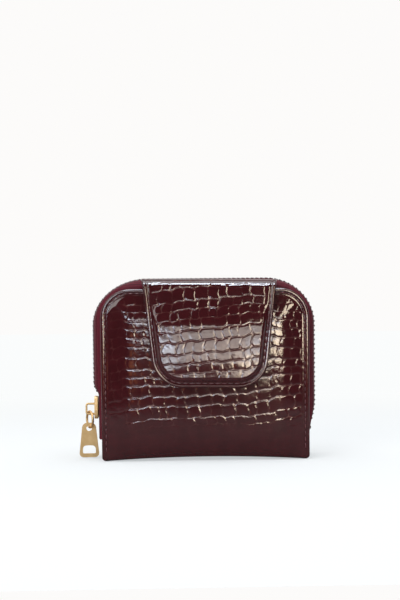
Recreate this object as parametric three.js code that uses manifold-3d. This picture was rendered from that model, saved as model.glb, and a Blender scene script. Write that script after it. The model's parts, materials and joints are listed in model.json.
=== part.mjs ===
// Compact zip-around wallet with a front flap, as an assembly of named pieces.
// Millimetres, +Z up, X along the spine, front towards -Y, origin under the middle of the spine.
import * as THREE from 'three';
import { mergeVertices } from 'three/addons/utils/BufferGeometryUtils.js';
import Module from 'manifold-3d';

const wasm = await Module();
wasm.setup();

// Covers and spine
const PANEL_WIDTH = 109.5;
const PANEL_TOP = 90.4;
const PANEL_CORNER = 15.5;
const PANEL_FOOT_CORNER = 1.5;
const DEPTH = 30;
const LEATHER = 1.2;
const FOLD_RADIUS = 2;
const PANEL_FOOT = 3;
const SPINE_LINING = 0.5;
const SPINE_LINING_INSET = 1;

// Raised pads of the front panel and the flap
const PAD_BORDER = 4;
const PAD_BEVEL = 9;
const PAD_RISE = 1.8;
const PAD_RELIEF = 0.3;
const FLAP_PAD_BORDER = 3;
const FLAP_PAD_BEVEL = 4;
const FLAP_PAD_RISE = 1.1;

// Layers behind the front panel and inside the rear cover
const POCKET_LINING = 0.5;
const POCKET_GAP = 4.9;
const POCKET_LINING_INSET = 2.2;
const POCKET_SIDE_WALL = 1.4;
const WALL = 0.8;
const TAPE = 0.8;
const LINING = 0.5;
const LINING_INSET = 1.5;
const BOARD_CLEARANCE = 0.3;
const CARD_SHEET = 0.7;
const CARD_SIDE_ROOM = 7.75;
const CARD_HEAD_ROOM = 12.4;
const CARD_WIDTH = PANEL_WIDTH - 2 * CARD_SIDE_ROOM;
const CARD_TOP = PANEL_TOP - CARD_HEAD_ROOM;
const CARD_STEP = 10;
const CARD_CORNER = 3;
const CARD_COUNT = 3;
const CARD_FOOT = 4;

// Main zip: outlines that the tapes run along, the tuck at both ends, the teeth
const TAPE_SEAM = 5;
const TAPE_EDGE_OUT = 1.6;
const ZIP_BESIDE_PANEL = 4.05;
const ZIP_OVER_PANEL = 5.3;
const CHAIN_HALF_WIDTH = PANEL_WIDTH / 2 + ZIP_BESIDE_PANEL;
const CHAIN_TOP = PANEL_TOP + ZIP_OVER_PANEL;
const CHAIN_CORNER = 24;
const CHAIN_TUCK = 2.2;
const EDGE_TUCK = 0.8;
const TUCK_LOW = 34.5;
const TUCK_HIGH = 44;
const TAPE_FOOT = 11;
const TAPE_TURN = 3.3;
const TAPE_EDGE_TO_CENTRE = 1.85;
const TOOTH_PITCH = 2.5;
const TOOTH_CORE = 0.7;
const TOOTH_REACH = 0.75;
const TOOTH_THICK = 2.4;
const TOOTH_NECK = 0.9;
const TOOTH_HEAD = 1.2;
const TOOTH_TIP = 0.7;
const TOOTH_NOSE = 0.5;
const CHAIN_FOOT_RIGHT = 17;
const STOP_LENGTH = 2;
const STOP_GAP = 0.6;

// Main slider, its bridge, the ring and the pull tab
const SLIDER_FOOT = 21.5;
const SLIDER_LENGTH = 12;
const SLIDER_TAIL = 7.6;
const SLIDER_SHOULDER = 9.6;
const SLIDER_PLATE = 1.1;
const SLIDER_CORNER = 1.8;
const RUN_CLEARANCE = 0.35;
const CHANNEL_WIDTH = 5.6;
const DIAMOND_WIDTH = 2.2;
const DIAMOND_LENGTH = 4;
const BRIDGE_WIDTH = 1.6;
const BRIDGE_FOOT_INSET = 1.8;
const BRIDGE_LENGTH = 6.6;
const BRIDGE_STRAP = 1;
const BRIDGE_POST = 1.1;
const BRIDGE_CORNER = 1.6;
const TUNNEL_HEIGHT = 4;
const RING_RADIUS = 4.3;
const RING_WIRE = 0.65;
const RING_SEAT = 2.75;
const RING_REST = 0.1;
const RING_YAW = 25;
const TAB_THICK = 1.2;
const TAB_TOP_WIDTH = 7;
const TAB_FOOT_WIDTH = 11;
const TAB_LENGTH = 18.6;
const TAB_TOP_CORNER = 2.6;
const TAB_FOOT_CORNER = 2;
const TAB_EYE_RADIUS = 1.5;
const TAB_EYE_DROP = 3;
const TAB_SLOT_WIDTH = 7;
const TAB_SLOT_HEIGHT = 4.4;
const TAB_SLOT_LIFT = 2;
const TAB_SLOT_CORNER = 0.8;

// Flap and its hidden magnets
const FLAP_CENTRE = 2.3;
const FLAP_SIDE_ROOM = 19.75;
const FLAP_TAPER = 6.2;
const FLAP_TOP_WIDTH = PANEL_WIDTH - 2 * FLAP_SIDE_ROOM;
const FLAP_LOW_WIDTH = FLAP_TOP_WIDTH - 2 * FLAP_TAPER;
const FLAP_FOOT = 38.7;
const FLAP_CORNER = 16;
const FLAP_ROOT = 0.6;
const FLAP_ROOT_LAP = 11.4;
const FLAP_ROOT_FOOT = PANEL_TOP - FLAP_ROOT_LAP;
const FLAP_ROOT_GAP = 0.4;
const FLAP_OUTER = 1;
const FLAP_LINING = 0.7;
const FLAP_STAND_OFF = 0.5;
const FLAP_OVER_PANEL = 3.2;
const FLAP_BEND = 3;
const FLAP_JOIN = 8;
const FLAP_SEAT = 0.5;
const MAGNET_RADIUS = 7;
const MAGNET_THICK = 0.8;
const MAGNET_OVER_FLAP_FOOT = 16.3;
const MAGNET_HEIGHT = FLAP_FOOT + MAGNET_OVER_FLAP_FOOT;
const MAGNET_CLEARANCE = 0.3;

// Coin pocket on the spine and its small zip
const COIN_SIDE_ROOM = 7.75;
const COIN_HEAD_ROOM = 12.4;
const COIN_WIDTH = PANEL_WIDTH - 2 * COIN_SIDE_ROOM;
const COIN_TOP = PANEL_TOP - COIN_HEAD_ROOM;
const COIN_DEPTH = 5.4;
const COIN_WALL = 0.75;
const COIN_SIDE = 1;
const COIN_TAPE = 0.6;
const COIN_COIL = 1.2;
const COIN_COIL_RISE = 0.5;
const COIN_PITCH = 2;
const COIN_SLIDER_LENGTH = 7;
const COIN_SLIDER_WIDTH = 4.6;
const COIN_SLIDER_PLATE = 0.7;
const COIN_SLIDER_KEEL = 2.8;
const COIN_SLIDER_INSET = 6;
const COIN_CLEARANCE = 0.3;
const COIN_STRAP = 0.6;
const COIN_STRAP_LENGTH = 4;
const COIN_TUNNEL = 1.5;
const COIN_PULL_LENGTH = 11;
const COIN_PULL_WIDTH = 4;
const COIN_PULL_THICK = 0.8;
const COIN_PULL_HOLE = 2.4;
const COIN_PULL_CORNER = 1.4;

// Shares and counts
const SHOULDER_HEIGHT_SHARE = 0.62;
const TAB_SLOT_ARCH_SHARE = 0.55;
const SMALLEST_CORNER_SHARE = 0.25;
const CORNER_STEPS = 7;
const SMALL_STEPS = 3;
const TUCK_STEPS = 4;
const ZIP_CORNER_STEPS = 9;
const RING_SIDES = 8;
const RING_STEPS = 24;
const OVERRUN = 1;

// Places across the depth, from the front face to the rear face
const FRONT = -DEPTH / 2;
const REAR = DEPTH / 2;
const PANEL_BACK = FRONT + LEATHER;
const POCKET_FRONT = PANEL_BACK + POCKET_LINING;
const POCKET_REAR = POCKET_FRONT + POCKET_GAP;
const WALL_BACK = POCKET_REAR + WALL;
const FRONT_SEAM_BACK = WALL_BACK + TAPE;
const FRONT_LINING_BACK = FRONT_SEAM_BACK + LINING;
const COVER_FRONT = REAR - LEATHER;
const REAR_SEAM_FRONT = COVER_FRONT - TAPE;
const REAR_LINING_FRONT = REAR_SEAM_FRONT - LINING;
const ZIP_Y = (WALL_BACK + FRONT_SEAM_BACK + REAR_SEAM_FRONT + COVER_FRONT) / 4;
const SPINE_HALF_DEPTH = REAR - FOLD_RADIUS;
const HALF_WIDTH = PANEL_WIDTH / 2;

// Materials
const finish = (color, roughness, metalness) => (
  new THREE.MeshStandardMaterial({ color, roughness, metalness })
);
const patent = (colour, roughness) => finish(colour, roughness, 0);
const LEATHER_COLOUR = 0x4a1e24;
const LINING_COLOUR = 0x5a2530;
const TAPE_COLOUR = 0x55202a;
const FOAM_COLOUR = 0xd8d2c8;
const BOARD_COLOUR = 0x8a7a68;
const STEEL_COLOUR = 0x9a9a9c;
const GOLD_COLOUR = 0xc9a25f;
const leather = () => patent(LEATHER_COLOUR, 0.25);
const lining = () => patent(LINING_COLOUR, 0.8);
const tapeCloth = () => patent(TAPE_COLOUR, 0.85);
const resin = () => patent(TAPE_COLOUR, 0.45);
const foam = () => patent(FOAM_COLOUR, 0.9);
const board = () => patent(BOARD_COLOUR, 0.9);
const gold = () => finish(GOLD_COLOUR, 0.25, 1);
const steel = () => finish(STEEL_COLOUR, 0.4, 1);

const group = new THREE.Group();

function addPiece(name, geometry, material) {
  const mesh = new THREE.Mesh(geometry, material);
  mesh.name = name;
  group.add(mesh);
}

// Solids for joining and cutting
function toSolid(geometry) {
  const bare = geometry.clone();
  bare.deleteAttribute('normal');
  bare.deleteAttribute('uv');
  const merged = mergeVertices(bare);
  const vertProperties = new Float32Array(merged.attributes.position.array);
  const triVerts = new Uint32Array(merged.index.array);
  return new wasm.Manifold(new wasm.Mesh({ numProp: 3, vertProperties, triVerts }));
}

function toGeometry(solid) {
  const mesh = solid.getMesh();
  const geometry = new THREE.BufferGeometry();
  geometry.setAttribute('position', new THREE.BufferAttribute(new Float32Array(mesh.vertProperties), 3));
  geometry.setIndex(new THREE.BufferAttribute(new Uint32Array(mesh.triVerts), 1));
  return geometry;
}

const without = (solid, tool) => solid.subtract(toSolid(tool));
const cut = (body, ...tools) => toGeometry(tools.reduce(without, toSolid(body)));
const join = (...bodies) => toGeometry(bodies.map(toSolid).reduce((solid, other) => solid.add(other)));

// Triangles across a flat ring, wound the way the ring runs
function capTriangles(ring) {
  const normal = new THREE.Vector3();
  ring.forEach((point, i) => normal.add(point.clone().cross(ring[(i + 1) % ring.length])));
  const size = [Math.abs(normal.x), Math.abs(normal.y), Math.abs(normal.z)];
  const axis = size.indexOf(Math.max(...size));
  const [across, up] = [['y', 'z'], ['z', 'x'], ['x', 'y']][axis];
  const contour = ring.map((point) => new THREE.Vector2(point[across], point[up]));
  const triangles = THREE.ShapeUtils.triangulateShape(contour, []);
  const runsClockwise = THREE.ShapeUtils.isClockWise(contour);
  return runsClockwise ? triangles.map(([p, q, r]) => [r, q, p]) : triangles;
}

// Closed body through rings of equal count, capped at both ends
function ringStack(rings) {
  const count = rings[0].length;
  const index = [];
  for (let ring = 0; ring + 1 < rings.length; ring += 1) {
    for (let side = 0; side < count; side += 1) {
      const next = (side + 1) % count;
      const low = ring * count;
      const high = low + count;
      index.push(low + side, low + next, high + next, low + side, high + next, high + side);
    }
  }
  const last = (rings.length - 1) * count;
  capTriangles(rings[0]).forEach(([p, q, r]) => index.push(r, q, p));
  capTriangles(rings[rings.length - 1]).forEach(([p, q, r]) => index.push(last + p, last + q, last + r));
  const geometry = new THREE.BufferGeometry();
  const positions = rings.flat().flatMap((point) => point.toArray());
  geometry.setAttribute('position', new THREE.Float32BufferAttribute(positions, 3));
  geometry.setIndex(index);
  return geometry;
}

// Prism of a shape: along X the shape is drawn in (y, z), along Y in (x, z), along Z in (x, y)
function prism(shape, along, low, high, curveSegments = CORNER_STEPS) {
  const settings = { depth: high - low, bevelEnabled: false, curveSegments };
  const geometry = new THREE.ExtrudeGeometry(shape, settings);
  if (along === 'y') return geometry.rotateX(Math.PI / 2).translate(0, high, 0);
  if (along === 'z') return geometry.translate(0, 0, low);
  const toYZ = new THREE.Matrix4().makeBasis(
    new THREE.Vector3(0, 1, 0),
    new THREE.Vector3(0, 0, 1),
    new THREE.Vector3(1, 0, 0),
  );
  return geometry.applyMatrix4(toYZ).translate(low, 0, 0);
}

function block(x0, x1, y0, y1, z0, z1) {
  const box = new THREE.BoxGeometry(x1 - x0, y1 - y0, z1 - z0);
  return box.translate((x0 + x1) / 2, (y0 + y1) / 2, (z0 + z1) / 2);
}

// Convex outline with rounded corners, moved inwards by an inset
// Corners run anticlockwise, each one [across, up, radius]
function roundedOutline(corners, inset = 0, steps = CORNER_STEPS) {
  const points = [];
  corners.forEach(([x, z, radius], i) => {
    const [px, pz] = corners[(i + corners.length - 1) % corners.length];
    const [qx, qz] = corners[(i + 1) % corners.length];
    const arriving = new THREE.Vector2(x - px, z - pz).normalize();
    const leaving = new THREE.Vector2(qx - x, qz - z).normalize();
    const turn = Math.acos(arriving.dot(leaving));
    const inward = leaving.clone().sub(arriving).normalize();
    const round = Math.max(radius - inset, radius * SMALLEST_CORNER_SHARE);
    const centre = new THREE.Vector2(x, z).addScaledVector(inward, (inset + round) / Math.cos(turn / 2));
    const start = Math.atan2(-arriving.x, arriving.y);
    for (let step = 0; step <= steps; step += 1) {
      const angle = start + (turn * step) / steps;
      points.push(new THREE.Vector2(centre.x + round * Math.cos(angle), centre.y + round * Math.sin(angle)));
    }
  });
  return points;
}

const shapeOf = (points) => new THREE.Shape(points);
const ringAt = (points, y) => points.map((point) => new THREE.Vector3(point.x, y, point.y));

// Panel outline: square foot, rounded top
function panelCorners(halfWidth, foot, top, radius) {
  return [
    [-halfWidth, foot, PANEL_FOOT_CORNER],
    [halfWidth, foot, PANEL_FOOT_CORNER],
    [halfWidth, top, radius],
    [-halfWidth, top, radius],
  ];
}

const PANEL = panelCorners(HALF_WIDTH, PANEL_FOOT, PANEL_TOP, PANEL_CORNER);

function panelSheet(inset, front, back) {
  return prism(shapeOf(roundedOutline(PANEL, inset)), 'y', front, back);
}

// Leather sheet with a raised pad: flat border, bevel, pad top, and the hollow behind it
function paddedSkin(corners, front, pad) {
  const back = front + pad.skin;
  return ringStack([
    ringAt(roundedOutline(corners, pad.border + pad.bevel + pad.skin), back - pad.rise),
    ringAt(roundedOutline(corners, pad.border + pad.skin), back),
    ringAt(roundedOutline(corners), back),
    ringAt(roundedOutline(corners), front),
    ringAt(roundedOutline(corners, pad.border), front),
    ringAt(roundedOutline(corners, pad.border + pad.bevel), front - pad.rise),
  ]);
}

// Foam that fills the hollow of a padded skin, less the relief
function padFilling(corners, front, pad) {
  const back = front + pad.skin;
  const inset = pad.border + pad.skin + PAD_RELIEF;
  return ringStack([
    ringAt(roundedOutline(corners, inset), back),
    ringAt(roundedOutline(corners, inset + pad.bevel), back - pad.rise + PAD_RELIEF),
  ]);
}

function disc(centreX, centreZ, radius, front, back) {
  const circle = new THREE.Shape().absarc(centreX, centreZ, radius, 0, 2 * Math.PI);
  return prism(circle, 'y', front, back);
}

const PANEL_PAD = { skin: LEATHER, border: PAD_BORDER, bevel: PAD_BEVEL, rise: PAD_RISE };
const FLAP_PAD = { skin: FLAP_OUTER, border: FLAP_PAD_BORDER, bevel: FLAP_PAD_BEVEL, rise: FLAP_PAD_RISE };

function magnetPocket(foam, front, back) {
  const radius = MAGNET_RADIUS + MAGNET_CLEARANCE;
  const hole = disc(FLAP_CENTRE, MAGNET_HEIGHT, radius, front - OVERRUN, back + OVERRUN);
  return cut(foam, hole);
}

// Spine: outer leather, inner lining and the quarter-round folds that carry the covers
function addSpine() {
  const linedHalf = HALF_WIDTH - SPINE_LINING_INSET;
  const linedDepth = SPINE_HALF_DEPTH - SPINE_LINING_INSET;
  const leatherStrip = block(-HALF_WIDTH, HALF_WIDTH, -SPINE_HALF_DEPTH, SPINE_HALF_DEPTH, 0, LEATHER);
  addPiece('spine_cover', leatherStrip, leather());
  const liningStrip = block(-linedHalf, linedHalf, -linedDepth, linedDepth, LEATHER, LEATHER + SPINE_LINING);
  addPiece('spine_lining', liningStrip, lining());
  addPiece('fold_front', fold(-1), leather());
  addPiece('fold_rear', fold(1), leather());
}

function fold(side) {
  const inner = FOLD_RADIUS - LEATHER;
  const shape = new THREE.Shape();
  const centre = side * SPINE_HALF_DEPTH;
  shape.moveTo(centre, 0);
  shape.absarc(centre, FOLD_RADIUS, FOLD_RADIUS, -Math.PI / 2, side > 0 ? 0 : -Math.PI, side < 0);
  shape.lineTo(centre + side * FOLD_RADIUS, PANEL_FOOT);
  shape.lineTo(centre + side * inner, PANEL_FOOT);
  shape.lineTo(centre + side * inner, FOLD_RADIUS);
  shape.absarc(centre, FOLD_RADIUS, inner, side > 0 ? 0 : -Math.PI, -Math.PI / 2, side > 0);
  return prism(shape, 'x', -HALF_WIDTH, HALF_WIDTH);
}

// Front half: padded panel, the pocket behind it, and the lined inner wall
function addFrontHalf() {
  addPiece('front_panel', paddedSkin(PANEL, FRONT, PANEL_PAD), leather());
  const foamFront = PANEL_BACK - PAD_RISE;
  const filling = padFilling(PANEL, FRONT, PANEL_PAD);
  addPiece('front_panel_foam', magnetPocket(filling, foamFront, PANEL_BACK), foam());
  const magnetFront = PANEL_BACK - MAGNET_THICK;
  const socket = disc(FLAP_CENTRE, MAGNET_HEIGHT, MAGNET_RADIUS, magnetFront, PANEL_BACK);
  addPiece('magnet_socket', socket, steel());
  addPiece('front_pocket_lining', panelSheet(POCKET_LINING_INSET, PANEL_BACK, POCKET_FRONT), lining());
  addPiece('front_pocket_side', pocketSide(), leather());
  addPiece('front_wall', panelSheet(0, POCKET_REAR, WALL_BACK), leather());
  addPiece('front_board', boardSheet(WALL_BACK, FRONT_SEAM_BACK), board());
  addPiece('front_lining', panelSheet(LINING_INSET, FRONT_SEAM_BACK, FRONT_LINING_BACK), lining());
}

// U-shaped edge that closes the front pocket at its foot and both sides
function pocketSide() {
  const out = HALF_WIDTH;
  const inner = HALF_WIDTH - POCKET_SIDE_WALL;
  const top = PANEL_TOP - PANEL_CORNER;
  const shape = shapeOf([
    new THREE.Vector2(-out, PANEL_FOOT + PANEL_FOOT_CORNER),
    new THREE.Vector2(-inner, PANEL_FOOT),
    new THREE.Vector2(inner, PANEL_FOOT),
    new THREE.Vector2(out, PANEL_FOOT + PANEL_FOOT_CORNER),
    new THREE.Vector2(out, top),
    new THREE.Vector2(inner, top),
    new THREE.Vector2(inner, PANEL_FOOT + POCKET_SIDE_WALL),
    new THREE.Vector2(-inner, PANEL_FOOT + POCKET_SIDE_WALL),
    new THREE.Vector2(-inner, top),
    new THREE.Vector2(-out, top),
  ]);
  return prism(shape, 'y', POCKET_FRONT, POCKET_REAR);
}

// Stiffener inside the tape's seam
function boardSheet(front, back) {
  return panelSheet(TAPE_SEAM + BOARD_CLEARANCE, front, back);
}

function addRearHalf() {
  addPiece('rear_cover', panelSheet(0, COVER_FRONT, REAR), leather());
  addPiece('rear_board', boardSheet(REAR_SEAM_FRONT, COVER_FRONT), board());
  addPiece('rear_lining', panelSheet(LINING_INSET, REAR_LINING_FRONT, REAR_SEAM_FRONT), lining());
}

// Stepped card pockets, the tallest one against its lining
function addCardPockets() {
  for (let i = 0; i < CARD_COUNT; i += 1) {
    const half = CARD_WIDTH / 2;
    const top = CARD_TOP - i * CARD_STEP;
    const outline = roundedOutline([
      [-half, CARD_FOOT, PANEL_FOOT_CORNER],
      [half, CARD_FOOT, PANEL_FOOT_CORNER],
      [half, top, CARD_CORNER],
      [-half, top, CARD_CORNER],
    ], 0, SMALL_STEPS);
    const near = FRONT_LINING_BACK + i * CARD_SHEET;
    const far = REAR_LINING_FRONT - i * CARD_SHEET;
    addPiece(`front_card_pocket_${i + 1}`, prism(shapeOf(outline), 'y', near, near + CARD_SHEET), lining());
    addPiece(`rear_card_pocket_${i + 1}`, prism(shapeOf(outline), 'y', far - CARD_SHEET, far), lining());
  }
}

// Zip: outlines with the same stations, so that the tape can be lofted between them
const SEAM_LINE = {
  half: HALF_WIDTH - TAPE_SEAM,
  top: PANEL_TOP - TAPE_SEAM,
  radius: PANEL_CORNER - TAPE_SEAM,
  tuck: 0,
};
const EDGE_LINE = {
  half: HALF_WIDTH + TAPE_EDGE_OUT,
  top: PANEL_TOP + TAPE_EDGE_OUT,
  radius: PANEL_CORNER + TAPE_EDGE_OUT,
  tuck: EDGE_TUCK,
};
const CHAIN_LINE = { half: CHAIN_HALF_WIDTH, top: CHAIN_TOP, radius: CHAIN_CORNER, tuck: CHAIN_TUCK };

function grown(line, by) {
  return { ...line, half: line.half + by, top: line.top + by, radius: line.radius + by };
}

// The zip is tucked in on the left, where the slider parks
function sideX(line, side, z) {
  const tuck = side < 0 ? line.tuck * (1 - THREE.MathUtils.smoothstep(z, TUCK_LOW, TUCK_HIGH)) : 0;
  return side * (line.half - tuck);
}

// Point and outward direction of a line at a station: a side by height, a corner or the top by share
function stationPoint(line, station) {
  const cornerX = line.half - line.radius;
  const cornerZ = line.top - line.radius;
  if (station.part === 'side') {
    const z = station.z === undefined ? cornerZ : station.z;
    return { x: sideX(line, station.side, z), z, nx: station.side, nz: 0 };
  }
  if (station.part === 'top') return { x: cornerX * station.share, z: line.top, nx: 0, nz: 1 };
  const angle = Math.PI * station.turn;
  const nx = Math.cos(angle);
  const nz = Math.sin(angle);
  return { x: Math.sign(nx) * cornerX + line.radius * nx, z: cornerZ + line.radius * nz, nx, nz };
}

// From the left foot up, across the top and down to the right foot
function zipStations() {
  const left = [{ part: 'side', side: -1, z: TAPE_FOOT }];
  for (let i = 0; i <= TUCK_STEPS; i += 1) {
    left.push({ part: 'side', side: -1, z: TUCK_LOW + ((TUCK_HIGH - TUCK_LOW) * i) / TUCK_STEPS });
  }
  left.push({ part: 'side', side: -1 });
  const right = left.map((station) => ({ ...station, side: 1 })).reverse();
  const leftCorner = [];
  for (let i = 1; i < ZIP_CORNER_STEPS; i += 1) {
    leftCorner.push({ part: 'corner', turn: 1 - i / (2 * ZIP_CORNER_STEPS) });
  }
  const rightCorner = leftCorner.map((station) => ({ part: 'corner', turn: 1 - station.turn })).reverse();
  const top = [{ part: 'top', share: -1 }, { part: 'top', share: 1 }];
  return [...left, ...leftCorner, ...top, ...rightCorner, ...right];
}

// Loft of a section along the zip; each section point is [line, y], anticlockwise seen against the run
function zipLoft(section) {
  return ringStack(zipStations().map((station) => section.map(([line, y]) => {
    const { x, z } = stationPoint(line, station);
    return new THREE.Vector3(x, y, z);
  })));
}

// One tape: sewn under the cover's edge, turned outwards, then flat along the chain
function tape(seamFar, seamNear, side) {
  const edge = ZIP_Y - side * TAPE_EDGE_TO_CENTRE;
  const outerTurn = seamFar + side * TAPE_TURN;
  const innerTurn = outerTurn + side * TAPE;
  const outer = grown(CHAIN_LINE, TAPE / 2);
  const inner = grown(CHAIN_LINE, -TAPE / 2);
  const section = [
    [SEAM_LINE, seamFar],
    [SEAM_LINE, seamNear],
    [EDGE_LINE, seamNear],
    [inner, innerTurn],
    [inner, edge],
    [outer, edge],
    [outer, outerTurn],
    [EDGE_LINE, seamFar],
  ];
  return zipLoft(side > 0 ? section : section.reverse());
}

// Length along the chain, measured upwards from a height on its left side
function chainLengths(foot) {
  const side = CHAIN_TOP - CHAIN_CORNER - foot;
  const corner = (CHAIN_CORNER * Math.PI) / 2;
  const top = 2 * (CHAIN_HALF_WIDTH - CHAIN_CORNER);
  return { side, corner, top };
}

function chainPoint(foot, length) {
  const { side, corner, top } = chainLengths(foot);
  const afterSide = length - side;
  const afterCorner = afterSide - corner;
  const afterTop = afterCorner - top;
  if (afterSide < 0) return stationPoint(CHAIN_LINE, { part: 'side', side: -1, z: foot + length });
  if (afterCorner < 0) return stationPoint(CHAIN_LINE, { part: 'corner', turn: 1 - afterSide / corner / 2 });
  if (afterTop < 0) return stationPoint(CHAIN_LINE, { part: 'top', share: (2 * afterCorner) / top - 1 });
  const turn = (1 - afterTop / corner) / 2;
  if (afterTop < corner) return stationPoint(CHAIN_LINE, { part: 'corner', turn });
  const z = CHAIN_TOP - CHAIN_CORNER - (afterTop - corner);
  return stationPoint(CHAIN_LINE, { part: 'side', side: 1, z });
}

// Teeth of one tape: a core along its edge and a wedge-nosed tooth at every pitch
function teeth(side) {
  const foot = SLIDER_FOOT + SLIDER_LENGTH + TOOTH_PITCH;
  const edge = ZIP_Y - side * TAPE_EDGE_TO_CENTRE;
  const coreFace = edge + side * TOOTH_CORE;
  const tip = ZIP_Y + side * TOOTH_REACH;
  const { side: sideLength, corner, top } = chainLengths(foot);
  const rightSide = CHAIN_TOP - CHAIN_CORNER - CHAIN_FOOT_RIGHT;
  const total = sideLength + 2 * corner + top + rightSide;
  const outline = shapeOf([
    new THREE.Vector2(-TOOTH_NECK / 2, edge + (side * TOOTH_CORE) / 2),
    new THREE.Vector2(-TOOTH_HEAD / 2, tip - side * TOOTH_NOSE),
    new THREE.Vector2(-TOOTH_TIP / 2, tip),
    new THREE.Vector2(TOOTH_TIP / 2, tip),
    new THREE.Vector2(TOOTH_HEAD / 2, tip - side * TOOTH_NOSE),
    new THREE.Vector2(TOOTH_NECK / 2, edge + (side * TOOTH_CORE) / 2),
  ]);
  const tooth = new THREE.ExtrudeGeometry(outline, { depth: TOOTH_THICK, bevelEnabled: false });
  tooth.translate(0, 0, -TOOTH_THICK / 2);
  let row = toSolid(teethCore(foot, edge, coreFace, side));
  const start = side > 0 ? TOOTH_PITCH / 4 : (3 * TOOTH_PITCH) / 4;
  for (let length = start; length < total - TOOTH_PITCH / 2; length += TOOTH_PITCH) {
    const { x, z, nx, nz } = chainPoint(foot, length);
    const along = new THREE.Vector3(nz, 0, -nx);
    const outward = new THREE.Vector3(nx, 0, nz);
    const frame = new THREE.Matrix4().makeBasis(along, new THREE.Vector3(0, 1, 0), outward);
    frame.setPosition(x, 0, z);
    row = row.add(toSolid(tooth.clone().applyMatrix4(frame)));
  }
  return toGeometry(row);
}

function teethCore(foot, edge, coreFace, side) {
  const outer = grown(CHAIN_LINE, TOOTH_THICK / 2);
  const inner = grown(CHAIN_LINE, -TOOTH_THICK / 2);
  const section = [[inner, edge], [inner, coreFace], [outer, coreFace], [outer, edge]];
  const run = zipLoft(side > 0 ? section : section.reverse());
  const reach = CHAIN_HALF_WIDTH + CHAIN_TUCK;
  const belowLeft = block(-reach, 0, edge - DEPTH, edge + DEPTH, -OVERRUN, foot);
  const belowRight = block(0, reach, edge - DEPTH, edge + DEPTH, -OVERRUN, CHAIN_FOOT_RIGHT);
  return cut(run, belowLeft, belowRight);
}

function addMainZip() {
  addPiece('zip_tape_front', tape(WALL_BACK, FRONT_SEAM_BACK, 1), tapeCloth());
  addPiece('zip_tape_rear', tape(COVER_FRONT, REAR_SEAM_FRONT, -1), tapeCloth());
  addPiece('zip_teeth_front', teeth(1), resin());
  addPiece('zip_teeth_rear', teeth(-1), resin());
  const stopTop = CHAIN_FOOT_RIGHT - STOP_GAP;
  const stopX = sideX(CHAIN_LINE, 1, stopTop);
  addPiece('zip_end_stop', block(
    stopX - TOOTH_THICK / 2,
    stopX + TOOTH_THICK / 2,
    ZIP_Y - TAPE_EDGE_TO_CENTRE,
    ZIP_Y + TAPE_EDGE_TO_CENTRE,
    stopTop - STOP_LENGTH,
    stopTop,
  ), resin());
}

// Slider: two plates with flanges round the tapes, and the diamond that parts the teeth
const CHAIN_X = -(CHAIN_HALF_WIDTH - CHAIN_TUCK);
const CHANNEL_HALF_HEIGHT = TOOTH_THICK / 2 + RUN_CLEARANCE;
const SLIDER_FACE = CHAIN_X - CHANNEL_HALF_HEIGHT - SLIDER_PLATE;
const SLIDER_TOP = SLIDER_FOOT + SLIDER_LENGTH;

function sliderBody() {
  const shoulder = SLIDER_FOOT + SLIDER_LENGTH * (1 - SHOULDER_HEIGHT_SHARE);
  const outline = roundedOutline([
    [ZIP_Y - SLIDER_SHOULDER / 2, SLIDER_FOOT, SLIDER_CORNER],
    [ZIP_Y + SLIDER_SHOULDER / 2, SLIDER_FOOT, SLIDER_CORNER],
    [ZIP_Y + SLIDER_SHOULDER / 2, shoulder, SLIDER_CORNER],
    [ZIP_Y + SLIDER_TAIL / 2, SLIDER_TOP, SLIDER_CORNER],
    [ZIP_Y - SLIDER_TAIL / 2, SLIDER_TOP, SLIDER_CORNER],
    [ZIP_Y - SLIDER_SHOULDER / 2, shoulder, SLIDER_CORNER],
  ], 0, SMALL_STEPS);
  const halfHeight = CHANNEL_HALF_HEIGHT + SLIDER_PLATE;
  const halfSlit = TAPE / 2 + RUN_CLEARANCE;
  const low = SLIDER_FOOT - OVERRUN;
  const high = SLIDER_TOP + OVERRUN;
  const blank = prism(shapeOf(outline), 'x', CHAIN_X - halfHeight, CHAIN_X + halfHeight);
  const channel = block(
    CHAIN_X - CHANNEL_HALF_HEIGHT,
    CHAIN_X + CHANNEL_HALF_HEIGHT,
    ZIP_Y - CHANNEL_WIDTH / 2,
    ZIP_Y + CHANNEL_WIDTH / 2,
    low,
    high,
  );
  const slitReach = SLIDER_SHOULDER / 2 + OVERRUN;
  const slit = block(CHAIN_X - halfSlit, CHAIN_X + halfSlit, ZIP_Y - slitReach, ZIP_Y + slitReach, low, high);
  return join(cut(blank, channel, slit), diamond());
}

function diamond() {
  const foot = SLIDER_FOOT + SLIDER_CORNER / 2;
  const shape = shapeOf([
    new THREE.Vector2(ZIP_Y, foot + DIAMOND_LENGTH),
    new THREE.Vector2(ZIP_Y - DIAMOND_WIDTH / 2, foot + DIAMOND_WIDTH / 2),
    new THREE.Vector2(ZIP_Y, foot),
    new THREE.Vector2(ZIP_Y + DIAMOND_WIDTH / 2, foot + DIAMOND_WIDTH / 2),
  ]);
  const reach = CHANNEL_HALF_HEIGHT + SLIDER_PLATE / 2;
  return prism(shape, 'x', CHAIN_X - reach, CHAIN_X + reach);
}

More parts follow.
